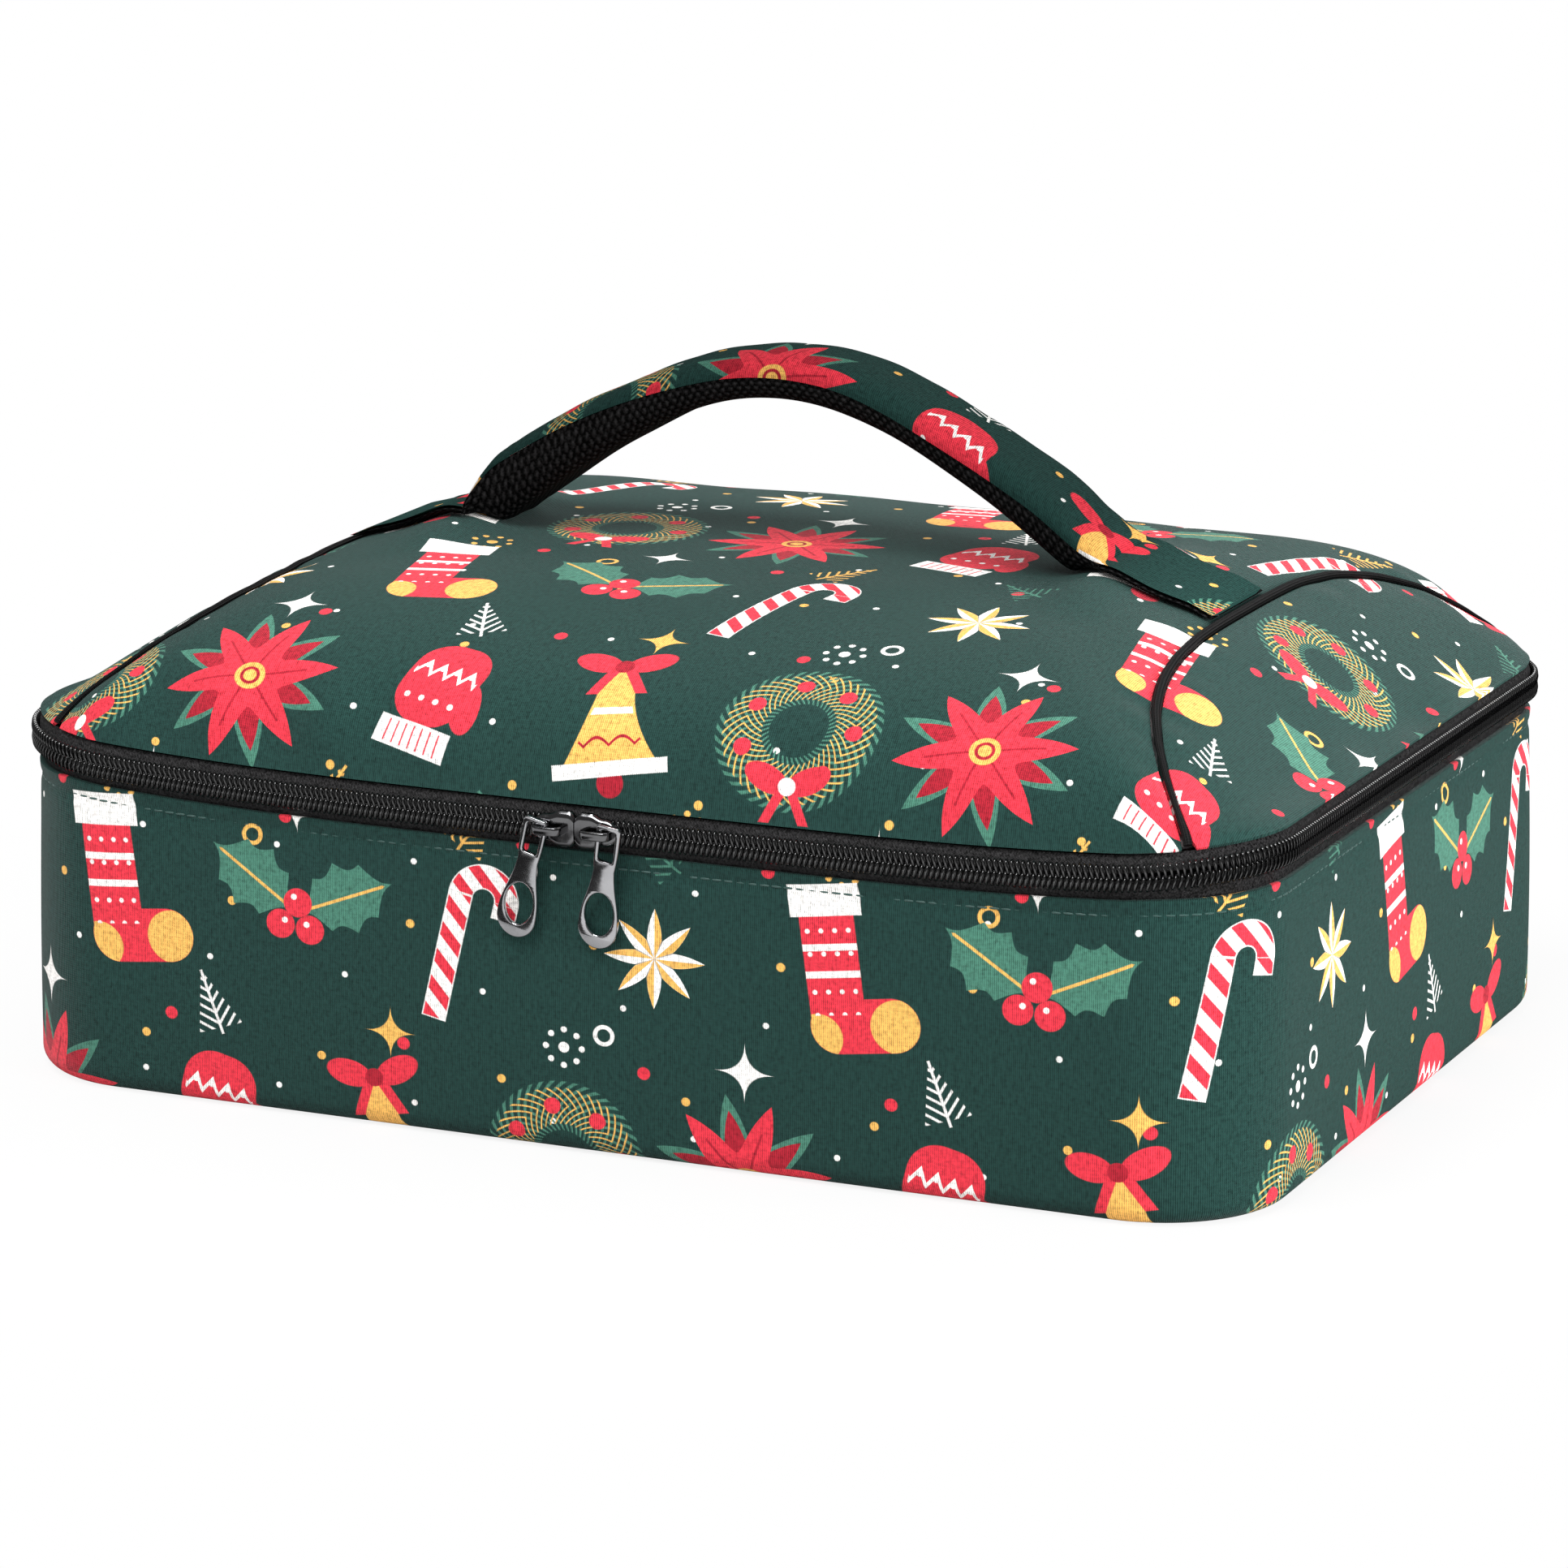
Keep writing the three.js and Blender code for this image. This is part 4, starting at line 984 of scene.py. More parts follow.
def pull_nickel_painted_lighter():
    """The pulls' finish: the sliders' nickel painted lighter, standing in for the brighter reflections the
    pulls show.
    """
    # painted light: a lighter copy of the sliders' nickel
    return nickel("pull_nickel_painted_lighter", 3.0)


def sewing_thread():
    """Green thread with a fine twist, painted darker where the twist is low as painted shade."""
    material, tree, shader = new_material("green_thread")
    twist = noise(tree, 0.4, 1.0)
    ink = [value * 1.5 for value in paints().ground]
    # the twist's height sets the tone: painted shade in its grooves
    set_base(tree, shader, plain_colour(tree, ink), twist.scaled(0.9, 0.6))
    set_bump(tree, shader, twist, 0.08)
    set_values(shader, {"Roughness": 0.5, "Sheen Weight": 0.2})
    return material


FINISHES = {}


def finish_of(maker):
    """The one material of a finish, made at its first use."""
    if maker.__name__ not in FINISHES:
        FINISHES[maker.__name__] = maker()
    return FINISHES[maker.__name__]


# Base

WALL_BELLY = 0.7
BACK_SEAM_DEPTH = 0.8
BACK_SEAM_WIDTH = 2.0


def wall_lean_at(m, z):
    return m.wall_lean * (1 - z / m.wall_top)


def wall_section(m):
    """Outline of the padded wall as n, z and share: up the outside from the rounded foot, over the folded
    hem, down the inside and back under the bottom's edge."""
    turn = np.linspace(0.0, TURN / 4, 9)
    foot_n = m.wall_lean - m.bottom_round + m.bottom_round * np.sin(turn)
    foot_z = m.bottom_round - m.bottom_round * np.cos(turn)
    rise = 1 - (1 - np.linspace(0.0, 1.0, 34)[1:]) ** 1.5
    face_z = m.bottom_round + (m.wall_top - m.bottom_round) * rise
    below = m.wall_top - face_z
    fold = 0.55 * np.exp(-((below / 3.0) ** 2)) - 0.5 * np.exp(-(((below - 4.6) / 1.3) ** 2))
    face_n = wall_lean_at(m, face_z) + fold
    hem_n = np.array([0.1, -0.6, -2.0, -7.0])
    hem_z = m.wall_top + np.array([0.25, 0.25, 0.0, 0.0])
    inside_z = np.linspace(m.wall_top - 4.0, 6.6, 8)
    inside_n = wall_lean_at(m, inside_z) - 7.1
    under_n = np.array([-4.2, -4.1, -4.1])
    under_z = np.array([6.4, 4.0, 1.0])
    n = np.concatenate([foot_n, face_n, hem_n, inside_n, under_n])
    z = np.concatenate([foot_z, face_z, hem_z, inside_z, under_z])
    share = np.clip((z - m.bottom_round) / (m.wall_top - m.bottom_round), 0.0, 1.0)
    outside = np.arange(len(n)) < len(foot_n) + len(face_n)
    return np.stack([n, z, share], axis=-1), outside


def make_wall(m):
    """Padded wall all round: its section along the rim, with slow bulges between the corners, short puckers
    under the hem, and a groove down the middle of the back where the cloth is joined."""
    rows = 520
    way = np.linspace(0.0, m.rim_length, rows, endpoint=False)
    section, outside = wall_section(m)
    around = loop_distances(section[:, :2])
    n = np.repeat(section[None], rows, axis=0)
    height = section[:, 1] / m.wall_top
    ring = TURN * way[:, None] / m.rim_length
    slow = ripple(np.cos(ring) * 180, np.sin(ring) * 180, 190.0, 11) * np.sin(math.pi * height)
    under_hem = np.exp(-((m.wall_top - section[:, 1] - 9.0) / 7.0) ** 2)
    short = ripple(np.cos(ring) * 207, np.sin(ring) * 207, 24.0, 12) * under_hem
    belly = WALL_BELLY * np.sin(math.pi * height)
    from_seam = np.minimum(way, m.rim_length - way)[:, None]
    groove = BACK_SEAM_DEPTH * np.exp(-((from_seam / BACK_SEAM_WIDTH) ** 2))
    stand = np.where(outside, belly + 0.6 * slow + 0.3 * short - groove, 0.0)
    n[..., 0] += stand * (section[:, 1] > m.bottom_round)
    shape = Shape()
    along = np.append(m.rim_length - way, 0.0)
    shape.add_tube(rim_sweep(m, way, n, has_drop=True), along, around, is_ring=True)
    return shape.piece("wall", finish_of(printed_cloth))


def rings_to_middle(rings):
    """Closed form from rings (around, columns, 3) whose first and last column lie close to the middle, each
    closed there by a flat face."""
    rows, columns = rings.shape[:2]
    points = rings.reshape(-1, 3)
    faces, _, _ = grid_faces(rows, columns, True, False)
    shape = Shape()
    shape.add(points, faces, points[faces.ravel(), :2])
    first = np.arange(rows) * columns
    for cap in (first[::-1], first + columns - 1):
        shape.faces.append(cap.tolist())
        shape.corners.append(points[cap, :2])
    return shape


def plate_shape(m, n, bottom, top, soft):
    """Soft plate with the rim's plan: rings drawn in to the middle, top and bottom, with rounded edges."""
    rows = 160
    way = np.linspace(0.0, m.rim_length, rows, endpoint=False)
    x, y, normal_x, normal_y = rim_at(m, way)
    edge = np.stack([x + normal_x * n, y + normal_y * n], axis=-1)
    turn = np.linspace(0.0, TURN / 2, 7)
    half = (top - bottom) / 2
    inward = np.concatenate([[0.06, 0.3, 0.55, 0.8], 1 - half / 120 * (1 - np.sin(turn))])
    inward = np.concatenate([inward, [0.8, 0.55, 0.3, 0.06]])
    level = np.concatenate([np.full(4, bottom), bottom + half * (1 - np.cos(turn)), np.full(4, top)])
    upright = np.tile(level[None, :, None], (rows, 1, 1))
    rings = np.concatenate([edge[:, None] * inward[None, :, None], upright], axis=2)
    swell = soft * ripple(rings[..., 0], rings[..., 1], 60.0, 21)
    rings[..., 2] += swell * (level > (bottom + top) / 2)
    return rings_to_middle(rings)


def lining_foot(m):
    """Where the wall's lining stands, out from the rim, at the height of the floor."""
    return wall_lean_at(m, 6.4) - 7.4


def lining_section(m):
    """The lining's outline: from the hem down the inside, round the floor's edge and back a layer in."""
    top = m.wall_top
    foot = lining_foot(m)
    outer_n = [-7.4, -7.4, foot + 0.1, foot, foot - 1.6]
    outer_z = [top - 0.2, top - 30.0, 30.0, 8.6, 6.5]
    inner_n = [foot - 2.0, foot - 0.5, foot - 0.4, -7.9, -7.9]
    inner_z = [7.1, 9.0, 30.0, top - 30.0, top - 0.2]
    n = np.array(outer_n + inner_n)
    z = np.array(outer_z + inner_z)
    return np.stack([n, z, np.clip(z / top, 0.0, 1.0)], axis=-1)


def rim_ring(m, section, rows):
    """One section of n, z and share all round the rim."""
    way = np.linspace(0.0, m.rim_length, rows, endpoint=False)
    along = np.append(way, m.rim_length)
    shape = Shape()
    shape.add_tube(rim_sweep(m, way, section[None]), along, loop_distances(section[:, :2]), is_ring=True)
    return shape


def make_base_lining(m):
    """Lining of the wall as one strip round the inside, over a lining of the floor."""
    wall = rim_ring(m, lining_section(m), 300).piece("wall_lining", finish_of(silver_lining))
    edge = lining_foot(m) - 1.9
    floor = plate_shape(m, edge, 6.45, 7.0, 0.25).piece("floor_lining", finish_of(silver_lining))
    return wall, floor


def make_binding(m, name, section):
    """Black tape of one section all round the rim."""
    section = np.array([[n, z, 1.0] for n, z in section])
    return rim_ring(m, section, 320).piece(name, finish_of(woven_tape))


# Zip, with each coil turn's middle and half size as out and up

COIL_MIDDLE = (1.75, 1.7)
COIL_HALF = (0.75, 2.0)
COIL_LEAN = 0.24
COIL_ROD = 0.44


def zip_way(m, rows):
    return np.linspace(m.hinge_half, m.rim_length - m.hinge_half, rows)


def make_zip_tape(m, name, section):
    """Zip tape: its section along the rim, open at the back."""
    way = zip_way(m, 420)
    section = np.array([[n, m.zip_height + z, 1.0] for n, z in section])
    shape = Shape()
    shape.add_tube(rim_sweep(m, way, section[None]), way, loop_distances(section[:, :2]))
    return shape.piece(name, finish_of(woven_tape))


def coil_turn(side):
    """One turn of the coil: a thin rod bent into an ellipse, as points along the zip, out and up, with four
    sides; the turn leans along the zip with its height."""
    angle = TURN * np.arange(8) / 8
    out = COIL_MIDDLE[0] + COIL_HALF[0] * np.cos(angle)
    up = COIL_MIDDLE[1] + COIL_HALF[1] * np.sin(angle)
    loop = np.stack([COIL_LEAN * up, out, side * up], axis=-1)
    tangent = unit(np.roll(loop, -1, axis=0) - np.roll(loop, 1, axis=0))
    sideways = unit(np.array([1.0, 0.0, 0.0]) - tangent * tangent[:, :1])
    outward = np.cross(tangent, sideways)
    angle = TURN * (np.arange(4) + 0.5) / 4
    rod = COIL_ROD * (
        np.cos(angle)[None, :, None] * sideways[:, None] + np.sin(angle)[None, :, None] * outward[:, None]
    )
    points = loop[:, None] + rod
    faces, _, _ = grid_faces(8, 4, True, True)
    return points.reshape(-1, 3), faces


def make_coil(m, name, side):
    """Coil row: one turn set at each pitch along the rim; the two rows are half a pitch apart, so their
    heads mesh."""
    span = m.rim_length - 2 * m.hinge_half
    count = int(span / m.coil_pitch)
    way = m.hinge_half + m.coil_pitch * (np.arange(count) + (0.25 if side > 0 else 0.75))
    x, y, normal_x, normal_y = rim_at(m, way)
    places = np.stack([x, y, m.zip_height - sag_at(m, x, y)], axis=-1)
    base, faces = coil_turn(side)
    shape = Shape()
    shape.add_repeats(base, faces, places, rim_axes(normal_x, normal_y), (0.0, 0.0))
    return shape.piece(name, finish_of(coil_plastic), sharp=180.0)


# Hinge strip: its inner face out from the rim, its thickness, half height and the round of its edges
HINGE_FACE = 0.3
HINGE_THICK = 0.8
HINGE_HALF_HEIGHT = 9.0
HINGE_EDGE = 0.2


def make_hinge(m):
    """Cloth strip across the back: a flat rounded section along its length."""
    turn = np.linspace(0.0, TURN / 2, 6)
    up = np.linspace(-HINGE_HALF_HEIGHT, HINGE_HALF_HEIGHT, 25)
    front = np.stack([np.full(25, HINGE_FACE), up], axis=-1)
    middle = HINGE_FACE + HINGE_THICK / 2
    cap_n = middle - HINGE_THICK / 2 * np.cos(turn)
    cap = np.stack([cap_n, HINGE_HALF_HEIGHT + HINGE_EDGE * np.sin(turn)], axis=-1)[1:-1]
    outline = np.concatenate([front, cap, front[::-1] + [HINGE_THICK, 0.0], [2 * middle, 0.0] - cap])
    x = np.linspace(-m.hinge_length / 2, m.hinge_length / 2, 116)
    rings = np.zeros((len(x), len(outline), 3))
    rings[..., 0] = x[:, None]
    rings[..., 1] = m.rim_y + outline[:, 0]
    rings[..., 2] = m.zip_height + outline[:, 1]
    shape = Shape()
    shape.add_tube(rings, -x, loop_distances(outline))
    return shape.piece("hinge_strip_cloth", finish_of(printed_cloth))


# Lid


def seam_tip(m, share, shift):
    """Where a line of constant share meets the rim, found by going back and forth between the two curves."""
    y = np.full(np.shape(share), m.rim_y)
    for _ in range(60):
        past = np.maximum(0.0, np.abs(share) * seam_at(m, y, shift) - m.straight_x)
        y = m.straight_y + np.sqrt(np.maximum(0.0, m.rim_corner**2 - past**2))
    return y


def top_plan(m, rows, columns, shift):
    """Plan points of the top panel: lines of constant share between the two seams, closer at the borders."""
    share = np.sin(np.linspace(-TURN / 4, TURN / 4, columns)) * 0.35 + np.linspace(-1, 1, columns) * 0.65
    t = np.sin(np.linspace(-TURN / 4, TURN / 4, rows))
    reach = seam_tip(m, share, shift)
    y = t[:, None] * reach[None, :]
    return share[None, :] * seam_at(m, y, shift), y


def end_plan(m, rows, columns, shift, side):
    """Plan points of an end panel: straight lines from the seam to the rim, closer at the rim."""
    t = np.sin(np.linspace(-TURN / 4, TURN / 4, rows)) * 0.994
    tip = float(seam_tip(m, np.array(1.0), shift))
    arc = m.rim_corner * math.asin((tip - m.straight_y) / m.rim_corner)
    run = np.abs(t) * (arc + m.straight_y)
    angle = np.maximum(0.0, run - m.straight_y) / m.rim_corner
    rim_x = m.straight_x + m.rim_corner * np.cos(angle)
    rim_y = np.sign(t) * (np.minimum(run, m.straight_y) + m.rim_corner * np.sin(angle))
    share = np.sin(np.linspace(0.0, TURN / 4, columns))[None, :]
    seam_y = t * tip
    x = seam_at(m, seam_y, shift)[:, None] * (1 - share) + rim_x[:, None] * share
    y = seam_y[:, None] * (1 - share) + rim_y[:, None] * share
    return side * x, y


def lid_padding(m, x, y):
    """Thickness of a padded lid panel: thin at the hem, full where the lid has risen enough to hold it."""
    return 1.0 + 4.6 * smooth_step(0.0, 9.0, lid_height(m, x, y) - hem_height(m, x, y))


def make_lid_panel(m, name, plan):
    """Panel of the lid: its plan lifted onto the soft lid surface and thickened along the normal."""
    x, y = plan
    shape = Shape()
    inner = lid_points(m, x, y, lid_padding(m, x, y))
    shape.add_shell(lid_points(m, x, y, 0.0), inner, lid_print_map(m, x, y))
    return shape.piece(name, finish_of(printed_cloth))


LID_LINING_RISE = 4.8
LID_LINING_DEPTH = 7.0
LINING_THICK = 0.6
LID_SKIRT_DROP = 1.9


def make_lid_lining(m):
    """Lining under the lid's padding: rings from the middle out to where the lid has risen enough to hold
    the padding, down in a skirt to the binding, and back a layer deeper."""
    rows = 260
    x, y, normal_x, normal_y = rim_at(m, np.linspace(0.0, m.rim_length, rows, endpoint=False))
    inset = np.linspace(2.0, 34.0, 240)
    tried_x = x[:, None] - normal_x[:, None] * inset
    tried_y = y[:, None] - normal_y[:, None] * inset
    is_high = lid_height(m, tried_x, tried_y) - hem_height(m, tried_x, tried_y) > LID_LINING_RISE
    first = np.argmax(is_high, axis=1)[:, None]
    share = np.sin(np.linspace(0.05, TURN / 4, 26))
    plan_x = np.take_along_axis(tried_x, first, axis=1) * share
    plan_y = np.take_along_axis(tried_y, first, axis=1) * share
    outer = lid_points(m, plan_x, plan_y, LID_LINING_DEPTH)
    inner = lid_points(m, plan_x, plan_y, LID_LINING_DEPTH + LINING_THICK)[:, ::-1]
    skirt = np.concatenate([outer[:, -1:], inner[:, :1]], axis=1)
    foot = hem_height(m, skirt[..., 0], skirt[..., 1]) - LID_SKIRT_DROP
    skirt[..., 2] = np.minimum(skirt[..., 2] - 0.1, foot)
    layers = [outer, skirt, inner]
    return rings_to_middle(np.concatenate(layers, axis=1)).piece("lid_lining_film", finish_of(silver_lining))


def make_piping(m, name, side):
    """Piping along a seam: an oval section on the lid's normal, thinner where the seam runs down the front
    and back, that ends on the zip tape."""
    rows = 280
    columns = 24
    t = np.sin(np.linspace(-TURN / 4, TURN / 4, rows))
    y = t * (float(seam_tip(m, np.array(1.0), 0.0)) - 0.3)
    x = side * seam_at(m, y)
    line = lid_points(m, x, y, 0.0)
    up = lid_normal(m, x, y)
    tangent = unit(np.gradient(line, axis=0))
    sideways = unit(np.cross(tangent, up))
    upright = np.cross(sideways, tangent)
    reach = np.abs(t)
    thin = 1 - 0.4 * smooth_step(0.6, 0.93, reach) + 0.22 * smooth_step(0.95, 1.0, reach)
    angle = TURN * np.arange(columns) / columns
    wide = m.piping_width / 2 * 0.87 * signed_power(np.cos(angle), 0.8)
    tall = m.piping_height / 2 * signed_power(np.sin(angle), 0.9)
    lift = m.piping_height / 2 - 0.55
    rings = (
        line[:, None]
        + sideways[:, None] * (thin[:, None] * wide[None])[..., None]
        + upright[:, None] * (tall[None] * thin[:, None] + lift)[..., None]
    )
    shape = Shape()
    shape.add_tube(rings, distances(line), np.linspace(0.0, 10.0, columns + 1))
    return shape.piece(name, finish_of(corded_piping))


# Handle

# Where the padding's blunt end stops on each side and how long it is; then how much the strap slims on the
# right and plumps on the left, the share of the cover that is left there, and the taper at a tab's end
LEFT_NOSE = (102.5, 10.0)
RIGHT_NOSE = (107.0, 24.0)
RIGHT_SLIM = 2.5
LEFT_PLUMP = 0.9
LEFT_COVER = 0.6
TAB_TAPER = 8.0


def handle_at(m, x):
    """Top height, padding, cover, edge, whole thickness and stretch of the strap at x: a padded arch with
    blunt ends that rest on the lid, then a flat tab with mesh under it."""
    reach = np.abs(x)
    bend = np.hypot(reach, m.handle_bend)
    nose_end = np.where(x < 0, LEFT_NOSE[0], RIGHT_NOSE[0])
    nose_length = np.where(x < 0, LEFT_NOSE[1], RIGHT_NOSE[1])
    nose = np.clip((reach - nose_end) / nose_length + 1, 0.0, 1.0)
    padding = np.sqrt(1 - nose**2)
    bed = lid_height(m, x, 0 * x) + 0.3
    tab = m.tab_mesh + (m.tab_mesh_end - m.tab_mesh) * smooth_step(m.tab_start, m.tab_end, reach)
    tab = tab * (1 - 0.9 * smooth_step(m.tab_end - TAB_TAPER, m.tab_end, reach))
    slim = RIGHT_SLIM * smooth_step(15.0, 60.0, x) - LEFT_PLUMP * smooth_step(25.0, 55.0, -x)
    arch = m.handle_top - m.handle_slope * (bend - m.handle_bend) - np.maximum(slim, 0.0)
    top = arch * padding + (bed + tab + 1.1) * (1 - padding)
    stretch = 1 + (np.hypot(1.0, m.handle_slope * reach / bend) - 1) * padding
    drawn = 1 - (1 - LEFT_COVER) * smooth_step(25.0, 80.0, -x)
    cover = m.handle_cover * padding * drawn
    edge = np.maximum(cover, 0.8)
    padded = (m.handle_pad + m.handle_pad_growth * (reach / m.sway_cut) ** 1.5) * padding
    whole = m.handle_cover * padding + padded - slim * padding / stretch
    total = np.minimum((top - bed) / stretch, 0.3 + np.maximum(whole, edge + tab))
    return top, padding, cover, edge, total, stretch


def handle_rows(m):
    """Stations along the strap, closer at the blunt ends of the padding."""
    halves = []
    for end, nose_length in (LEFT_NOSE, RIGHT_NOSE):
        arch = np.linspace(0.0, end - nose_length, 60, endpoint=False)
        nose = end + nose_length * (np.sin(np.linspace(0.0, TURN / 4, 32)) - 1)
        tab = np.linspace(end, m.tab_end, 30)[1:]
        halves.append(np.concatenate([arch, nose, tab]))
    return np.concatenate([-halves[0][:0:-1], halves[1]])


def make_handle_half(m, name, material, is_cover):
    """Upper or lower half of the strap: a crowned section, one minus the root of one minus a power of the
    share across, closed by a flat face at the seam between the halves."""
    x = handle_rows(m)
    top, padding, cover, edge, total, stretch = (value[:, None] for value in handle_at(m, x))
    side = np.sin(np.linspace(-TURN / 4, TURN / 4, 37))[None]
    half = (m.handle_width + (m.tab_width - m.handle_width) * (1 - padding)) / 2
    flat = np.linspace(1.0, -1.0, 11)[None, 1:-1]
    if is_cover:
        half_width = half - m.tab_overhang * (1 - padding)
        crown = cover * (1 - np.sqrt(np.maximum(0.0, 1 - np.abs(side) ** 4)))
        seam = np.repeat(edge, flat.shape[1], axis=1)
    else:
        half_width = half - 0.4 * padding
        crown = total - (total - edge - 0.15) * (1 - np.sqrt(np.maximum(0.0, 1 - np.abs(side) ** 7)))
        seam = np.repeat(edge + 0.15, flat.shape[1], axis=1)
    slow = 0.3 * ripple(x[:, None], side * 18.0, 24.0, 31 if is_cover else 32)
    crease = np.exp(-(((np.abs(x) - m.tab_start + 12.0) / 8.0) ** 2))[:, None]
    short = 0.35 * crease * ripple(x[:, None], side * 18.0, 9.0, 34)
    wave = padding * (slow + short) * (1 - side**6)
    across = np.concatenate([half_width * side, half_width * flat], axis=1)
    depth = np.concatenate([crown - wave * (1 if is_cover else -0.5), seam], axis=1)
    along_x = np.repeat(x[:, None], across.shape[1], axis=1)
    rings = np.stack([along_x, across, top - depth * stretch], axis=-1)
    middle = int(np.argmin(np.abs(x)))
    around = loop_distances(rings[middle])
    along = distances(rings[:, side.shape[1] // 2])
    shape = Shape()
    shape.add_tube(rings, along - along[middle], around)
    return shape.piece(name, material, sharp=62.0)


# Stitching

STITCH_PITCH = 3.7
STITCH_DROP = 4.5
STITCH_SINK = 0.38


def stitch_form():
    """One stitch: a short rounded rod, thicker in the middle, with six sides."""
    along = np.array([-1.0, -0.72, 0.0, 0.72, 1.0])
    thick = np.array([0.25, 0.85, 1.0, 0.85, 0.25])
    angle = TURN * np.arange(6) / 6
    points = np.stack([
        np.repeat(along[:, None] * 1.55, 6, axis=1),
        0.24 * thick[:, None] * np.cos(angle)[None] - 0.05 + 0.12 * thick[:, None],
        0.34 * thick[:, None] * np.sin(angle)[None],
    ], axis=-1)
    sides, _, _ = grid_faces(5, 6, False, True)
    ends = [[3, 2, 1, 0], [5, 4, 3, 0], [24, 25, 26, 27], [24, 27, 28, 29]]
    return points.reshape(-1, 3), np.concatenate([sides, ends])


def make_hem_stitches(m):
    """Row of stitches along the wall, a little under its hem."""
    count = int(m.rim_length / STITCH_PITCH)
    way = (np.arange(count) + 0.5) * m.rim_length / count
    x, y, normal_x, normal_y = rim_at(m, way)
    z = m.wall_top - STITCH_DROP
    out = wall_lean_at(m, z) - STITCH_SINK
    share = (z - m.bottom_round) / (m.wall_top - m.bottom_round)
    down = share * (sag_at(m, x, y) + hem_drop(m, x))
    places = np.stack([x + normal_x * out, y + normal_y * out, z - down], axis=-1)
    base, faces = stitch_form()
    shape = Shape()
    shape.add_repeats(base, faces, places, rim_axes(normal_x, normal_y), (0.0, 0.0))
    return shape.piece("hem_stitches", finish_of(sewing_thread), sharp=180.0)


# Sliders and pulls, drawn for the right-hand one: x runs from the mouth to the tail

MEETING_X = -4.0
MEETING_GAP = 0.15
PLATE_FACE = 3.3
PLATE_THICK = 1.1
BAIL_START = 2.7
BAIL_LENGTH = 9.6
BAIL_BAR = 1.6
BAIL_SPACE = 2.6
BAIL_WIDTH = 2.6
PULL_TILT = {"left": 15.0, "right": 9.5}
PULL_LEAN = 5.0
PULL_BEVEL = 0.45
PULL_SHARP = 18.0


def slider_plate(m, mouth, tail, face, thickness, flange):
    """Slider plate: a crowned channel section, its half width following the plan from a square mouth to a
    round tail; the flange is how far its edges turn back over the coil."""
    x = m.slider_length * (1 - np.cos(np.linspace(0.06, TURN / 2 - 0.05, 34))) / 2
    square = mouth / 2 * (1 - 0.3 * np.maximum(0.0, 1 - x / 1.8) ** 2)
    waist = smooth_step(0.36, 0.62, x / m.slider_length)
    end = np.maximum(0.0, (x / m.slider_length - 0.62) / 0.38)
    half = (square * (1 - waist) + tail / 2 * waist) * np.sqrt(np.maximum(0.0, 1 - end**2.4))
    side = np.linspace(-1.0, 1.0, 17)
    crown = face + thickness * (1 - 0.16 * side**2) - flange * np.abs(side) ** 9
    inner = np.linspace(1.0, -1.0, 9)[1:-1]
    under = face - flange * np.abs(inner) ** 9
    across = np.concatenate([side, [1.0], inner * 0.9, [-1.0]])
    out = np.concatenate([crown, [face - flange - 0.3], under, [face - flange - 0.3]])
    rings = np.zeros((len(x), len(across), 3))
    rings[..., 0] = x[:, None]
    rings[..., 1] = out[None]
    rings[..., 2] = half[:, None] * across[None]
    return rings


def rounded_box_rings(points, tangents, half_wide, half_tall):
    """Rounded rectangular section carried along a path: a superellipse on the path's side and up axes."""
    up = np.array([0.0, 0.0, 1.0])
    angle = TURN * np.arange(16) / 16
    wide = half_wide * signed_power(np.cos(angle), 0.45)
    tall = half_tall * signed_power(np.sin(angle), 0.45)
    sideways = np.cross(tangents, up)
    return points[:, None] + wide[None, :, None] * up + tall[None, :, None] * sideways[:, None]


def bail_rings():
    """Bail: a low arch along the slider, out from the plate, level and back, with rounded corners."""
    low = PLATE_FACE + PLATE_THICK - 0.4
    high = PLATE_FACE + PLATE_THICK + BAIL_SPACE + BAIL_BAR / 2
    start = BAIL_START + BAIL_BAR / 2
    end = BAIL_START + BAIL_LENGTH - BAIL_BAR / 2
    bend = 1.5
    turn = np.linspace(0.0, TURN / 4, 9)
    first = np.stack([start + bend * (1 - np.cos(turn)), high - bend * (1 - np.sin(turn))], axis=-1)
    last = np.stack([end - bend * (1 - np.sin(turn)), high - bend * (1 - np.cos(turn))], axis=-1)
    path = np.concatenate([[[start, low]], first, last, [[end, low]]])
    points = np.stack([path[:, 0], path[:, 1], 0 * path[:, 0]], axis=-1)
    tangents = unit(np.gradient(points, axis=0))
    return rounded_box_rings(points, tangents, BAIL_WIDTH / 2, BAIL_BAR / 2)


def post_rings():
    """Post between the plates: a plain rounded bar through the zip."""
    depth = np.linspace(-1.4, PLATE_FACE + 0.2, 4)
    points = np.stack([np.full(4, 4.0), depth, np.zeros(4)], axis=-1)
    tangents = np.repeat(np.array([[0.0, 1.0, 0.0]]), 4, axis=0)
    return rounded_box_rings(points, tangents, 0.5, 2.0)


def meeting_height(m):
    return m.zip_height - float(sag_at(m, np.array(MEETING_X), np.array(-m.rim_y)))


def at_zip(m, rings, side):
    """Points of x, out and up set at the sliders' meeting place on the front, mirrored for the left one."""
    middle = meeting_height(m)
    placed = np.empty_like(rings)
    placed[..., 0] = MEETING_X + side * (rings[..., 0] + MEETING_GAP)
    placed[..., 1] = -m.rim_y - rings[..., 1]
    placed[..., 2] = middle + rings[..., 2]
    return placed


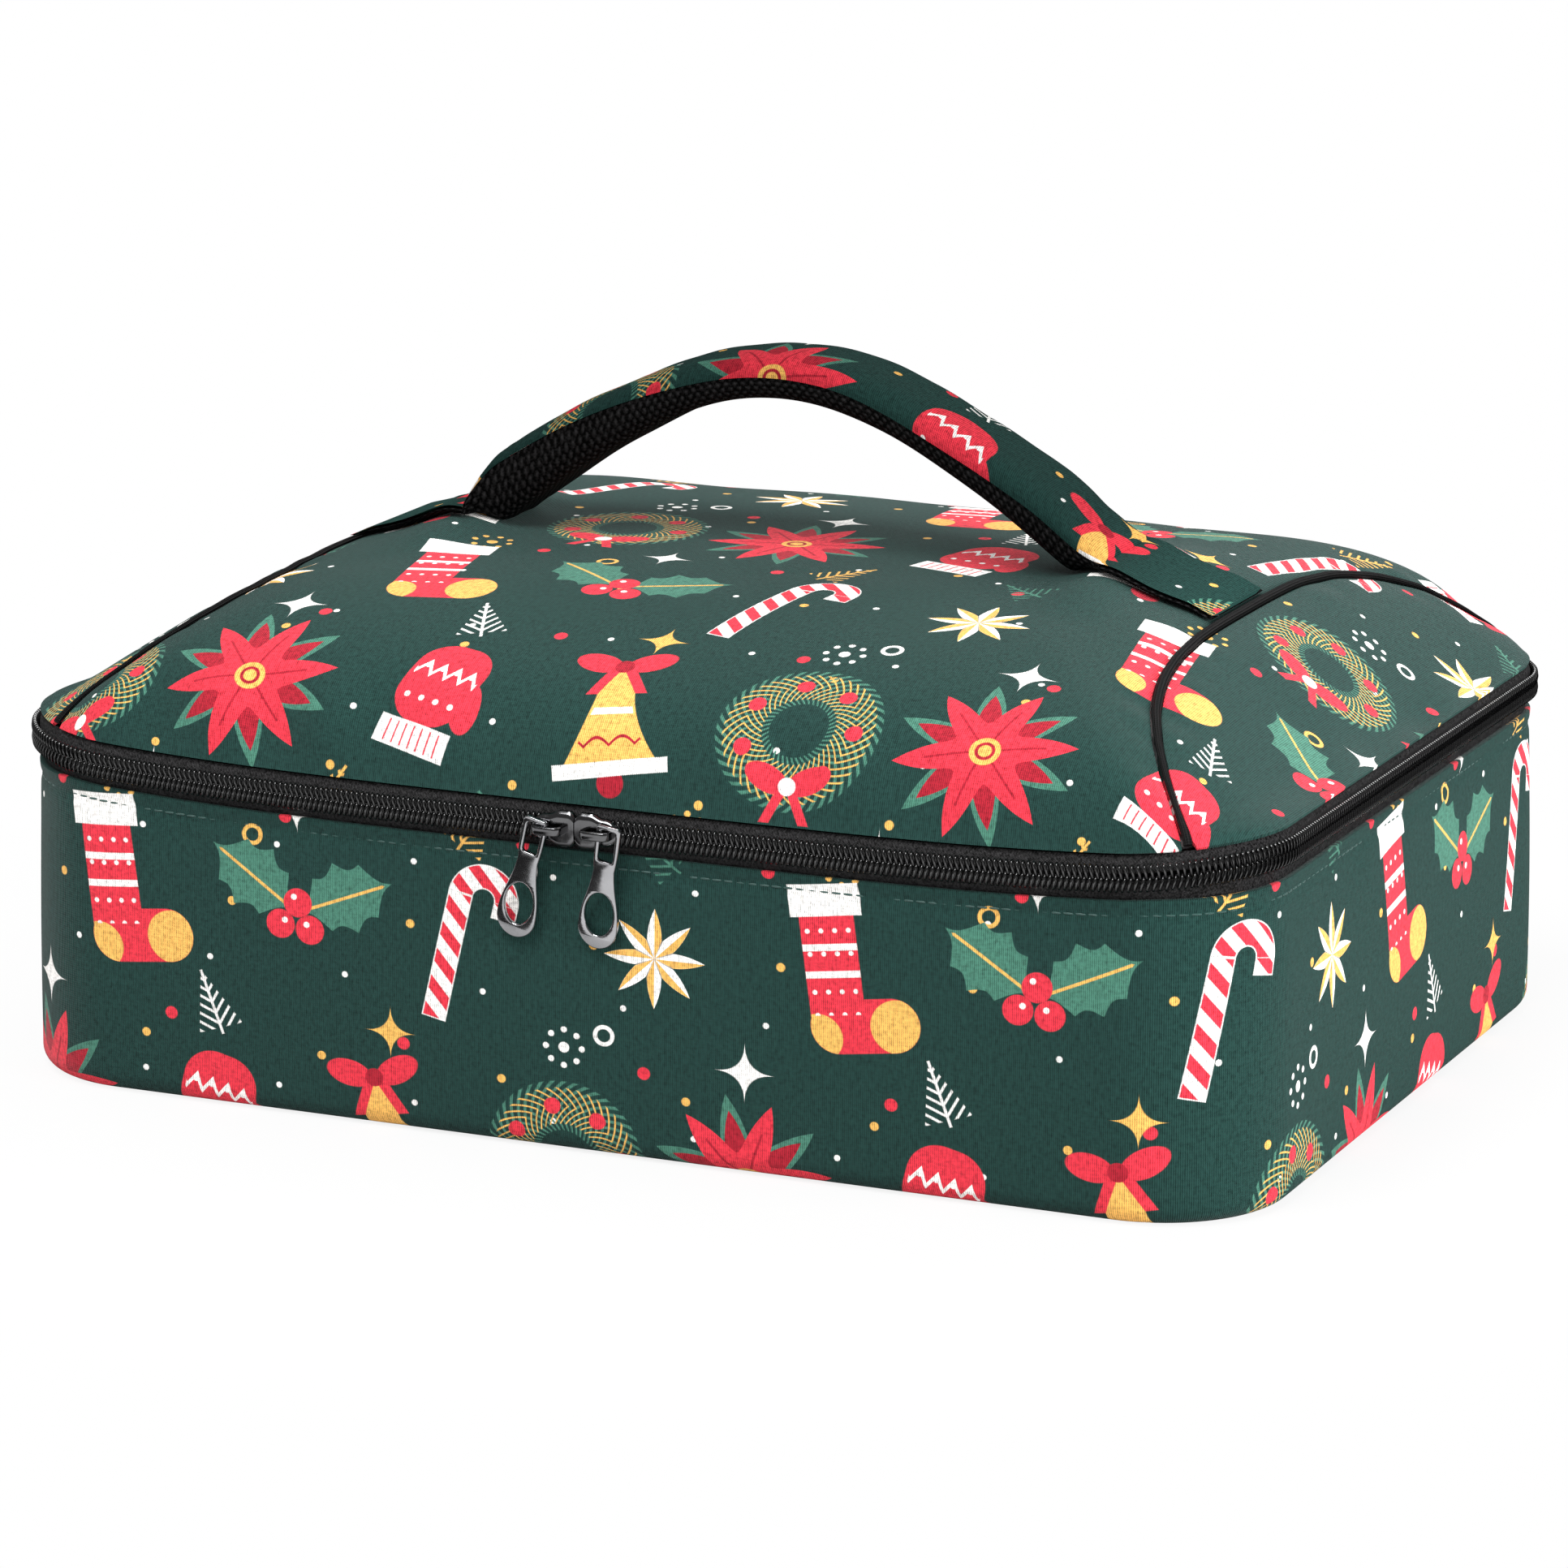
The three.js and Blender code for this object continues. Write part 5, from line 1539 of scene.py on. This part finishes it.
def make_slider(m, name, side):
    """Zip slider: a front plate with turned edges, a back plate, the post and the bail."""
    coil_back = 2 * 3.2
    parts = [
        slider_plate(m, m.slider_mouth, m.slider_tail, PLATE_FACE, PLATE_THICK, 0.9),
        slider_plate(m, coil_back + 0.6, coil_back + 0.2, -2.2, PLATE_THICK, 0.0),
        post_rings(),
        bail_rings(),
    ]
    shape = Shape()
    for rings in parts:
        rows, columns = rings.shape[:2]
        shape.add_tube(at_zip(m, rings, side), np.linspace(0, 10, rows), np.linspace(0, 10, columns + 1))
    return shape.piece(name, finish_of(black_nickel), sharp=40.0)


def bezier(start, first, second, end, count):
    """Cubic curve between two points, without its last one."""
    t = np.linspace(0.0, 1.0, count, endpoint=False)[:, None]
    a, b, c, d = (np.array(p, float) for p in (start, first, second, end))
    return a * (1 - t) ** 3 + 3 * b * t * (1 - t) ** 2 + 3 * c * t**2 * (1 - t) + d * t**3


def rounded_outline(half_x, low, high, radius):
    """Rectangle with rounded corners, as a closed outline."""
    turn = np.linspace(0.0, TURN / 4, 6)
    corners = []
    for start, x, y in (
        (0, half_x - radius, high - radius),
        (1, radius - half_x, high - radius),
        (2, radius - half_x, low + radius),
        (3, half_x - radius, low + radius),
    ):
        angle = turn + start * TURN / 4
        corners.append(np.stack([x + radius * np.cos(angle), y + radius * np.sin(angle)], axis=-1))
    return np.concatenate(corners)


def pull_outlines(m):
    """Tear-drop outline with a rounded top, the window round the bail and the oval hole at the foot."""
    reach = BAIL_WIDTH / 2 + 0.3 + m.pull_bar
    neck = m.pull_neck / 2
    foot = m.pull_foot / 2
    bottom = reach - m.pull_length
    waist = reach - m.pull_window - 4.0
    corner = 1.5
    turn = np.linspace(0.0, -TURN / 2, 25)[:-1]
    centre = bottom + foot
    near = reach - corner
    right = bezier((neck - 0.6, waist), (neck, bottom + 16), (foot, bottom + 14), (foot, centre), 14)
    round_foot = np.stack([foot * np.cos(turn), centre + foot * np.sin(turn)], axis=-1)
    left = bezier((-foot, centre), (-foot, bottom + 14), (-neck, bottom + 16), (0.6 - neck, waist), 14)
    top_left = bezier((0.6 - neck, waist), (-neck, waist + 4), (-neck, reach - 5), (-neck, near), 6)
    bend_left = bezier((-neck, near), (-neck, reach - 0.6), (0.6 - neck, reach), (corner - neck, reach), 6)
    bend_right = bezier((neck - corner, reach), (neck - 0.6, reach), (neck, reach - 0.6), (neck, near), 6)
    top_right = bezier((neck, near), (neck, reach - 5), (neck, waist + 4), (neck - 0.6, waist), 6)
    outer = np.concatenate([right, round_foot, left, top_left, bend_left, bend_right, top_right])
    high = reach - m.pull_bar
    window = rounded_outline(neck - m.pull_bar, high - m.pull_window, high, 1.0)
    angle = TURN * np.arange(40) / 40
    hole_x = (foot - m.pull_rim) * np.cos(angle)
    hole_y = bottom + m.pull_toe + m.pull_hole / 2 * (1 + np.sin(angle))
    return [outer, window, np.stack([hole_x, hole_y], axis=-1)]


def bevelled_plate(outlines, thickness, bevel):
    """Points and faces of a flat plate with rounded edges: a filled flat curve, made a mesh."""
    flat = bpy.data.curves.new("plate_outline", "CURVE")
    flat.dimensions = "2D"
    flat.fill_mode = "BOTH"
    flat.extrude = thickness / 2 - bevel
    flat.bevel_depth = bevel
    flat.bevel_resolution = 3
    flat.offset = -bevel
    for outline in outlines:
        spline = flat.splines.new("POLY")
        spline.points.add(len(outline) - 1)
        spline.points.foreach_set("co", np.pad(outline, ((0, 0), (0, 2))).ravel())
        spline.use_cyclic_u = True
    holder = add_object("plate_outline", flat)
    evaluated = holder.evaluated_get(bpy.context.evaluated_depsgraph_get())
    mesh = bpy.data.meshes.new_from_object(evaluated)
    points = np.zeros(len(mesh.vertices) * 3)
    mesh.vertices.foreach_get("co", points)
    faces = [list(face.vertices) for face in mesh.polygons]
    bpy.data.objects.remove(holder)
    bpy.data.curves.remove(flat)
    bpy.data.meshes.remove(mesh)
    return points.reshape(-1, 3), faces


def make_pull(m, name, side):
    """Zip pull: a bevelled tear-drop plate hung on the bail's foot, leaning inwards and sideways."""
    points, faces = bevelled_plate(pull_outlines(m), m.pull_thick, PULL_BEVEL)
    lean = math.radians(PULL_LEAN)
    tilt = math.radians(PULL_TILT[name.split("_")[1]])
    x = points[:, 0]
    out = points[:, 2] + points[:, 1] * math.sin(lean)
    up = points[:, 1] * math.cos(lean) - points[:, 2] * math.sin(lean)
    turned_x = x * math.cos(tilt) + up * math.sin(tilt)
    turned_up = up * math.cos(tilt) - x * math.sin(tilt)
    foot_x = BAIL_START + BAIL_LENGTH - BAIL_BAR / 2
    face = PLATE_FACE + PLATE_THICK + BAIL_SPACE / 2
    middle = meeting_height(m)
    placed = np.stack([
        MEETING_X + side * (foot_x + MEETING_GAP) + turned_x, -m.rim_y - face - out, middle + turned_up
    ], axis=-1)
    mesh = bpy.data.meshes.new(name)
    mesh.from_pydata((placed * MM).tolist(), [], faces)
    form = bmesh.new()
    form.from_mesh(mesh)
    bmesh.ops.remove_doubles(form, verts=form.verts, dist=0.001 * MM)
    bmesh.ops.recalc_face_normals(form, faces=form.faces)
    form.to_mesh(mesh)
    form.free()
    smooth_mesh(mesh, PULL_SHARP)
    return add_object(name, mesh)


# Stage, in metres

CAMERA_PLACE = (0.77996, -1.76167, 0.55654)
CAMERA_TARGET = (-0.00424, 0.0, 0.07739)
CAMERA_LENS = 148.6
CAMERA_SENSOR = 36.0
LAMP_SIZE = 1.6
LAMP_TARGET = (0.0, 0.0, 0.1)
FLOOR_REACH = 8.0


def look_at(thing, target):
    """Turns a camera or lamp so that it faces a point."""
    thing.rotation_euler = (Vector(target) - thing.location).to_track_quat("-Z", "Y").to_euler()


def add_lamp(name, place, power, in_gloss=True):
    lamp = bpy.data.lights.new(name, "AREA")
    lamp.shape = "SQUARE"
    lamp.size = LAMP_SIZE
    lamp.energy = power
    holder = add_object(name, lamp)
    holder.location = place
    holder.visible_glossy = in_gloss
    look_at(holder, LAMP_TARGET)


def floor_material():
    """Pale floor that keeps the shadow near the object and runs out to white, as seen by the camera. In
    reflections it is white in front of the object and dark elsewhere."""
    material, tree, shader = new_material("pale_floor")
    set_values(shader, {"Base Color": (0.58, 0.58, 0.58, 1.0), "Roughness": 0.9, "Specular IOR Level": 0.1})
    place = tree.nodes.new("ShaderNodeTexCoord")
    split = tree.nodes.new("ShaderNodeSeparateXYZ")
    tree.links.new(place.outputs["Object"], split.inputs[0])
    far = hypotenuse(Field(tree, split.outputs[0]), Field(tree, split.outputs[1]))
    white_share = far.scaled(0.7, 0.74, clamp=True)
    path = tree.nodes.new("ShaderNodeLightPath")
    by_camera = Field(tree, path.outputs["Is Camera Ray"])
    by_gloss = Field(tree, path.outputs["Is Glossy Ray"])
    in_front = Field(tree, split.outputs[1]).scaled(-8.0, -1.2, clamp=True)
    glow = tree.nodes.new("ShaderNodeEmission")
    tree.links.new(by_camera.higher(by_gloss * in_front).source, glow.inputs["Strength"])
    mix = tree.nodes.new("ShaderNodeMixShader")
    tree.links.new((white_share * by_camera).higher(by_gloss).source, mix.inputs[0])
    tree.links.new(shader.outputs[0], mix.inputs[1])
    tree.links.new(glow.outputs[0], mix.inputs[2])
    tree.links.new(mix.outputs[0], tree.nodes["Material Output"].inputs["Surface"])
    return material


def add_plane(name, corners, material):
    """Flat stage piece with four corners."""
    mesh = bpy.data.meshes.new(name)
    mesh.from_pydata(corners, [], [[0, 1, 2, 3]])
    mesh.materials.append(material)
    plane = add_object(name, mesh)
    return plane


def card_material():
    """Dark card with a soft grain."""
    material, tree, shader = new_material("dark_card")
    tone = noise(tree, 40.0).scaled(0.02, 0.005)
    set_base(tree, shader, plain_colour(tree, (1.0, 1.0, 1.0)), tone)
    set_values(shader, {"Roughness": 1.0, "Specular IOR Level": 0.0})
    return material


def add_dark_card():
    """Card on the floor that only shows in reflections, so that one pull looks darker than the other."""
    corners = [(-0.3, -0.5, 0.0005), (-0.157, -0.5, 0.0005), (-0.068, -0.25, 0.0005), (-0.3, -0.25, 0.0005)]
    card = add_plane("dark_card", corners, card_material())
    card.visible_camera = False
    card.visible_diffuse = False
    card.visible_transmission = False
    card.visible_shadow = False


def soft_room():
    """White surroundings, dimmer where the metal reflects them."""
    world = bpy.data.worlds.new("soft_room")
    world.use_nodes = True
    tree = world.node_tree
    background = tree.nodes["Background"]
    background.inputs["Color"].default_value = (1.0, 1.0, 1.0, 1.0)
    path = tree.nodes.new("ShaderNodeLightPath")
    strength = Field(tree, path.outputs["Is Glossy Ray"]).scaled(-0.4, 0.55)
    tree.links.new(strength.source, background.inputs["Strength"])
    return world


class CARRIER_OT_stage(bpy.types.Operator):
    """Camera, floor, lamps and surrounding light"""

    bl_idname = "carrier.stage"
    bl_label = "Stage"

    def execute(self, context):
        scene = context.scene
        scene.view_settings.view_transform = "Standard"
        camera = bpy.data.cameras.new("camera")
        camera.lens = CAMERA_LENS
        camera.sensor_width = CAMERA_SENSOR
        camera.clip_end = 50.0
        holder = add_object("camera", camera)
        holder.location = CAMERA_PLACE
        look_at(holder, CAMERA_TARGET)
        scene.camera = holder
        far = FLOOR_REACH
        corners = [(-far, -far, 0.0), (far, -far, 0.0), (far, far, 0.0), (-far, far, 0.0)]
        add_plane("floor", corners, floor_material())
        add_dark_card()
        add_lamp("key_lamp", (-0.3, -1.35, 2.55), 92.0)
        add_lamp("right_lamp", (2.4, -0.3, 0.5), 106.0, in_gloss=False)
        add_lamp("back_lamp", (0.3, 1.6, 1.9), 20.0)
        scene.world = soft_room()
        return {"FINISHED"}


class CARRIER_OT_base(bpy.types.Operator):
    """Padded wall and bottom of the case"""

    bl_idname = "carrier.base"
    bl_label = "Base"

    def execute(self, context):
        m = measures()
        wall = make_wall(m)
        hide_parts("base_wall_cloth", "base_wall_foam")
        bottom = plate_shape(m, m.wall_lean - m.bottom_round - 0.3, 0.0, 6.1, 0.0)
        bottom = bottom.piece("bottom", finish_of(printed_cloth))
        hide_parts("base_bottom_cloth", "base_bottom_foam")
        for piece in (wall, bottom):
            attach(piece, "base")
        return {"FINISHED"}


class CARRIER_OT_lining(bpy.types.Operator):
    """Silver linings of the base and the lid"""

    bl_idname = "carrier.lining"
    bl_label = "Lining"

    def execute(self, context):
        m = measures()
        wall, floor = make_base_lining(m)
        lid = make_lid_lining(m)
        for piece, node, body, around in (
            (wall, "base_wall_lining", "base", (m.rim_length * MM, m.wall_top * MM)),
            (floor, "base_bottom_lining", "base", (m.case_length * MM, m.case_depth * MM)),
            (lid, "lid_lining", "lid", (m.case_length * MM, m.case_depth * 1.1 * MM)),
        ):
            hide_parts(node)
            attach(piece, body)
        return {"FINISHED"}


class CARRIER_OT_bindings(bpy.types.Operator):
    """Black bindings along the inner edges of the base and the lid"""

    bl_idname = "carrier.bindings"
    bl_label = "Bindings"

    def execute(self, context):
        m = measures()
        top = m.wall_top + 0.3
        base_section = [
            (-8.2, top - 13.3), (-8.2, top), (-2.1, top), (-1.9, top + 0.4), (-2.1, top + 0.8),
            (-8.6, top + 0.8), (-9.0, top + 0.3), (-9.0, top - 13.3),
        ]
        level = m.zip_height + 3.8
        lid_section = [
            (-2.7, level), (-2.5, level + 0.4), (-2.7, level + 0.8), (-16.0, level + 0.8), (-16.0, level),
        ]
        for name, section, node, body in (
            ("base_binding", base_section, "base_rim_binding", "base"),
            ("lid_binding", lid_section, "lid_rim_binding", "lid"),
        ):
            piece = make_binding(m, name, section)
            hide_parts(node)
            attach(piece, body)
        return {"FINISHED"}


class CARRIER_OT_zip(bpy.types.Operator):
    """Zip tapes and coils"""

    bl_idname = "carrier.zip"
    bl_label = "Zip"

    def execute(self, context):
        m = measures()
        lower = [
            (-1.1, -13.8), (-1.1, -6.8), (-0.2, -4.6), (0.2, -3.4), (0.3, -1.2),
            (-0.4, -1.2), (-0.5, -3.2), (-1.8, -6.8), (-1.8, -13.8),
        ]
        upper = [(-1.1, 6.1), (-0.2, 4.6), (0.2, 3.4), (0.3, 1.2), (-0.4, 1.2), (-0.5, 3.2), (-1.8, 5.9)]
        for name, section, body in (("lower", lower, "base"), ("upper", upper, "lid")):
            tape = make_zip_tape(m, f"tape_{name}", section)
            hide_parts(f"zip_tape_{name}")
            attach(tape, body)
            coil = make_coil(m, f"coil_{name}", -1 if name == "lower" else 1)
            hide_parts(f"zip_coil_{name}")
            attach(coil, body)
        return {"FINISHED"}


class CARRIER_OT_hinge(bpy.types.Operator):
    """Cloth hinge strip across the back, between the base and the lid"""

    bl_idname = "carrier.hinge"
    bl_label = "Hinge"

    def execute(self, context):
        m = measures()
        strip = make_hinge(m)
        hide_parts("hinge_strip")
        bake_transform(strip)
        return {"FINISHED"}


class CARRIER_OT_lid(bpy.types.Operator):
    """Printed, padded panels of the lid"""

    bl_idname = "carrier.lid"
    bl_label = "Lid panels"

    def execute(self, context):
        m = measures()
        edge = m.piping_width / 2 - 0.1
        top = make_lid_panel(m, "top_panel", top_plan(m, 141, 127, -edge))
        left = make_lid_panel(m, "end_panel_left", end_plan(m, 121, 37, edge, -1))
        right = make_lid_panel(m, "end_panel_right", end_plan(m, 121, 37, edge, 1))
        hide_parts("lid_top_panel", "lid_foam")
        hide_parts("lid_end_panel_left")
        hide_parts("lid_end_panel_right")
        for piece in (top, left, right):
            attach(piece, "lid")
        return {"FINISHED"}


class CARRIER_OT_piping(bpy.types.Operator):
    """Black piping along the two seams of the lid"""

    bl_idname = "carrier.piping"
    bl_label = "Piping"

    def execute(self, context):
        m = measures()
        for name, side in (("left", -1), ("right", 1)):
            piece = make_piping(m, f"piping_{name}", side)
            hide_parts(f"lid_piping_{name}")
            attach(piece, "lid")
        return {"FINISHED"}


class CARRIER_OT_handle(bpy.types.Operator):
    """Padded handle with a printed cover and a mesh underside, whose arch comes down onto flat tabs on the
    lid
    """

    bl_idname = "carrier.handle"
    bl_label = "Handle"

    def execute(self, context):
        m = measures()
        cover = make_handle_half(m, "strap_cover", finish_of(shaded_strap_cloth), True)
        under = make_handle_half(m, "strap_mesh", finish_of(air_mesh), False)
        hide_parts("handle_cover", "handle_foam", "handle_tab_cover_left", "handle_tab_cover_right")
        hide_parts("handle_tab_foam_left", "handle_tab_foam_right")
        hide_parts("handle_mesh", "handle_tab_mesh_left", "handle_tab_mesh_right")
        for piece, slot in ((cover, "printed_cloth"), (under, "mesh")):
            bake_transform(piece)
        return {"FINISHED"}


class CARRIER_OT_sliders(bpy.types.Operator):
    """Two zip sliders that meet at the front"""

    bl_idname = "carrier.sliders"
    bl_label = "Sliders"

    def execute(self, context):
        m = measures()
        for name, side in (("left", -1), ("right", 1)):
            piece = make_slider(m, f"runner_{name}", side)
            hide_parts(f"slider_{name}")
            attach(piece, f"slider_{name}")
        return {"FINISHED"}


class CARRIER_OT_pulls(bpy.types.Operator):
    """Two tear-drop pulls on the sliders"""

    bl_idname = "carrier.pulls"
    bl_label = "Pulls"

    def execute(self, context):
        m = measures()
        for name, side in (("left", -1), ("right", 1)):
            piece = make_pull(m, f"tab_{name}", side)
            piece.data.materials.append(finish_of(pull_nickel_painted_lighter))
            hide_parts(f"pull_{name}")
            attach(piece, f"pull_{name}")
        return {"FINISHED"}


class CARRIER_OT_stitches(bpy.types.Operator):
    """Stitching under the hem of the wall"""

    bl_idname = "carrier.stitches"
    bl_label = "Stitches"

    def execute(self, context):
        piece = make_hem_stitches(measures())
        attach(piece, "base")
        return {"FINISHED"}


OPERATORS = (
    CARRIER_OT_stage,
    CARRIER_OT_base,
    CARRIER_OT_lining,
    CARRIER_OT_bindings,
    CARRIER_OT_zip,
    CARRIER_OT_hinge,
    CARRIER_OT_lid,
    CARRIER_OT_piping,
    CARRIER_OT_handle,
    CARRIER_OT_sliders,
    CARRIER_OT_pulls,
    CARRIER_OT_stitches,
)


class CARRIER_PT_panel(bpy.types.Panel):
    """Sizes, colours and pieces of the carrier"""

    bl_idname = "CARRIER_PT_panel"
    bl_label = "Casserole carrier"
    bl_space_type = "VIEW_3D"
    bl_region_type = "UI"
    bl_category = "Carrier"

    def draw(self, context):
        layout = self.layout
        for operator in OPERATORS:
            layout.operator(operator.bl_idname)
        for group in (context.scene.carrier_sizes, context.scene.carrier_colours):
            column = layout.column()
            for name in group.__annotations__:
                column.prop(group, name)


CLASSES = (CarrierSizes, CarrierColours, *OPERATORS, CARRIER_PT_panel)


def register():
    for kind in CLASSES:
        bpy.utils.register_class(kind)
    bpy.types.Scene.carrier_sizes = bpy.props.PointerProperty(type=CarrierSizes)
    bpy.types.Scene.carrier_colours = bpy.props.PointerProperty(type=CarrierColours)


def unregister():
    del bpy.types.Scene.carrier_colours
    del bpy.types.Scene.carrier_sizes
    for kind in reversed(CLASSES):
        bpy.utils.unregister_class(kind)


def main():
    """Builds every piece in order."""
    register()
    for operator in OPERATORS:
        group, name = operator.bl_idname.split(".")
        getattr(getattr(bpy.ops, group), name)()


if __name__ == "__main__":
    main()
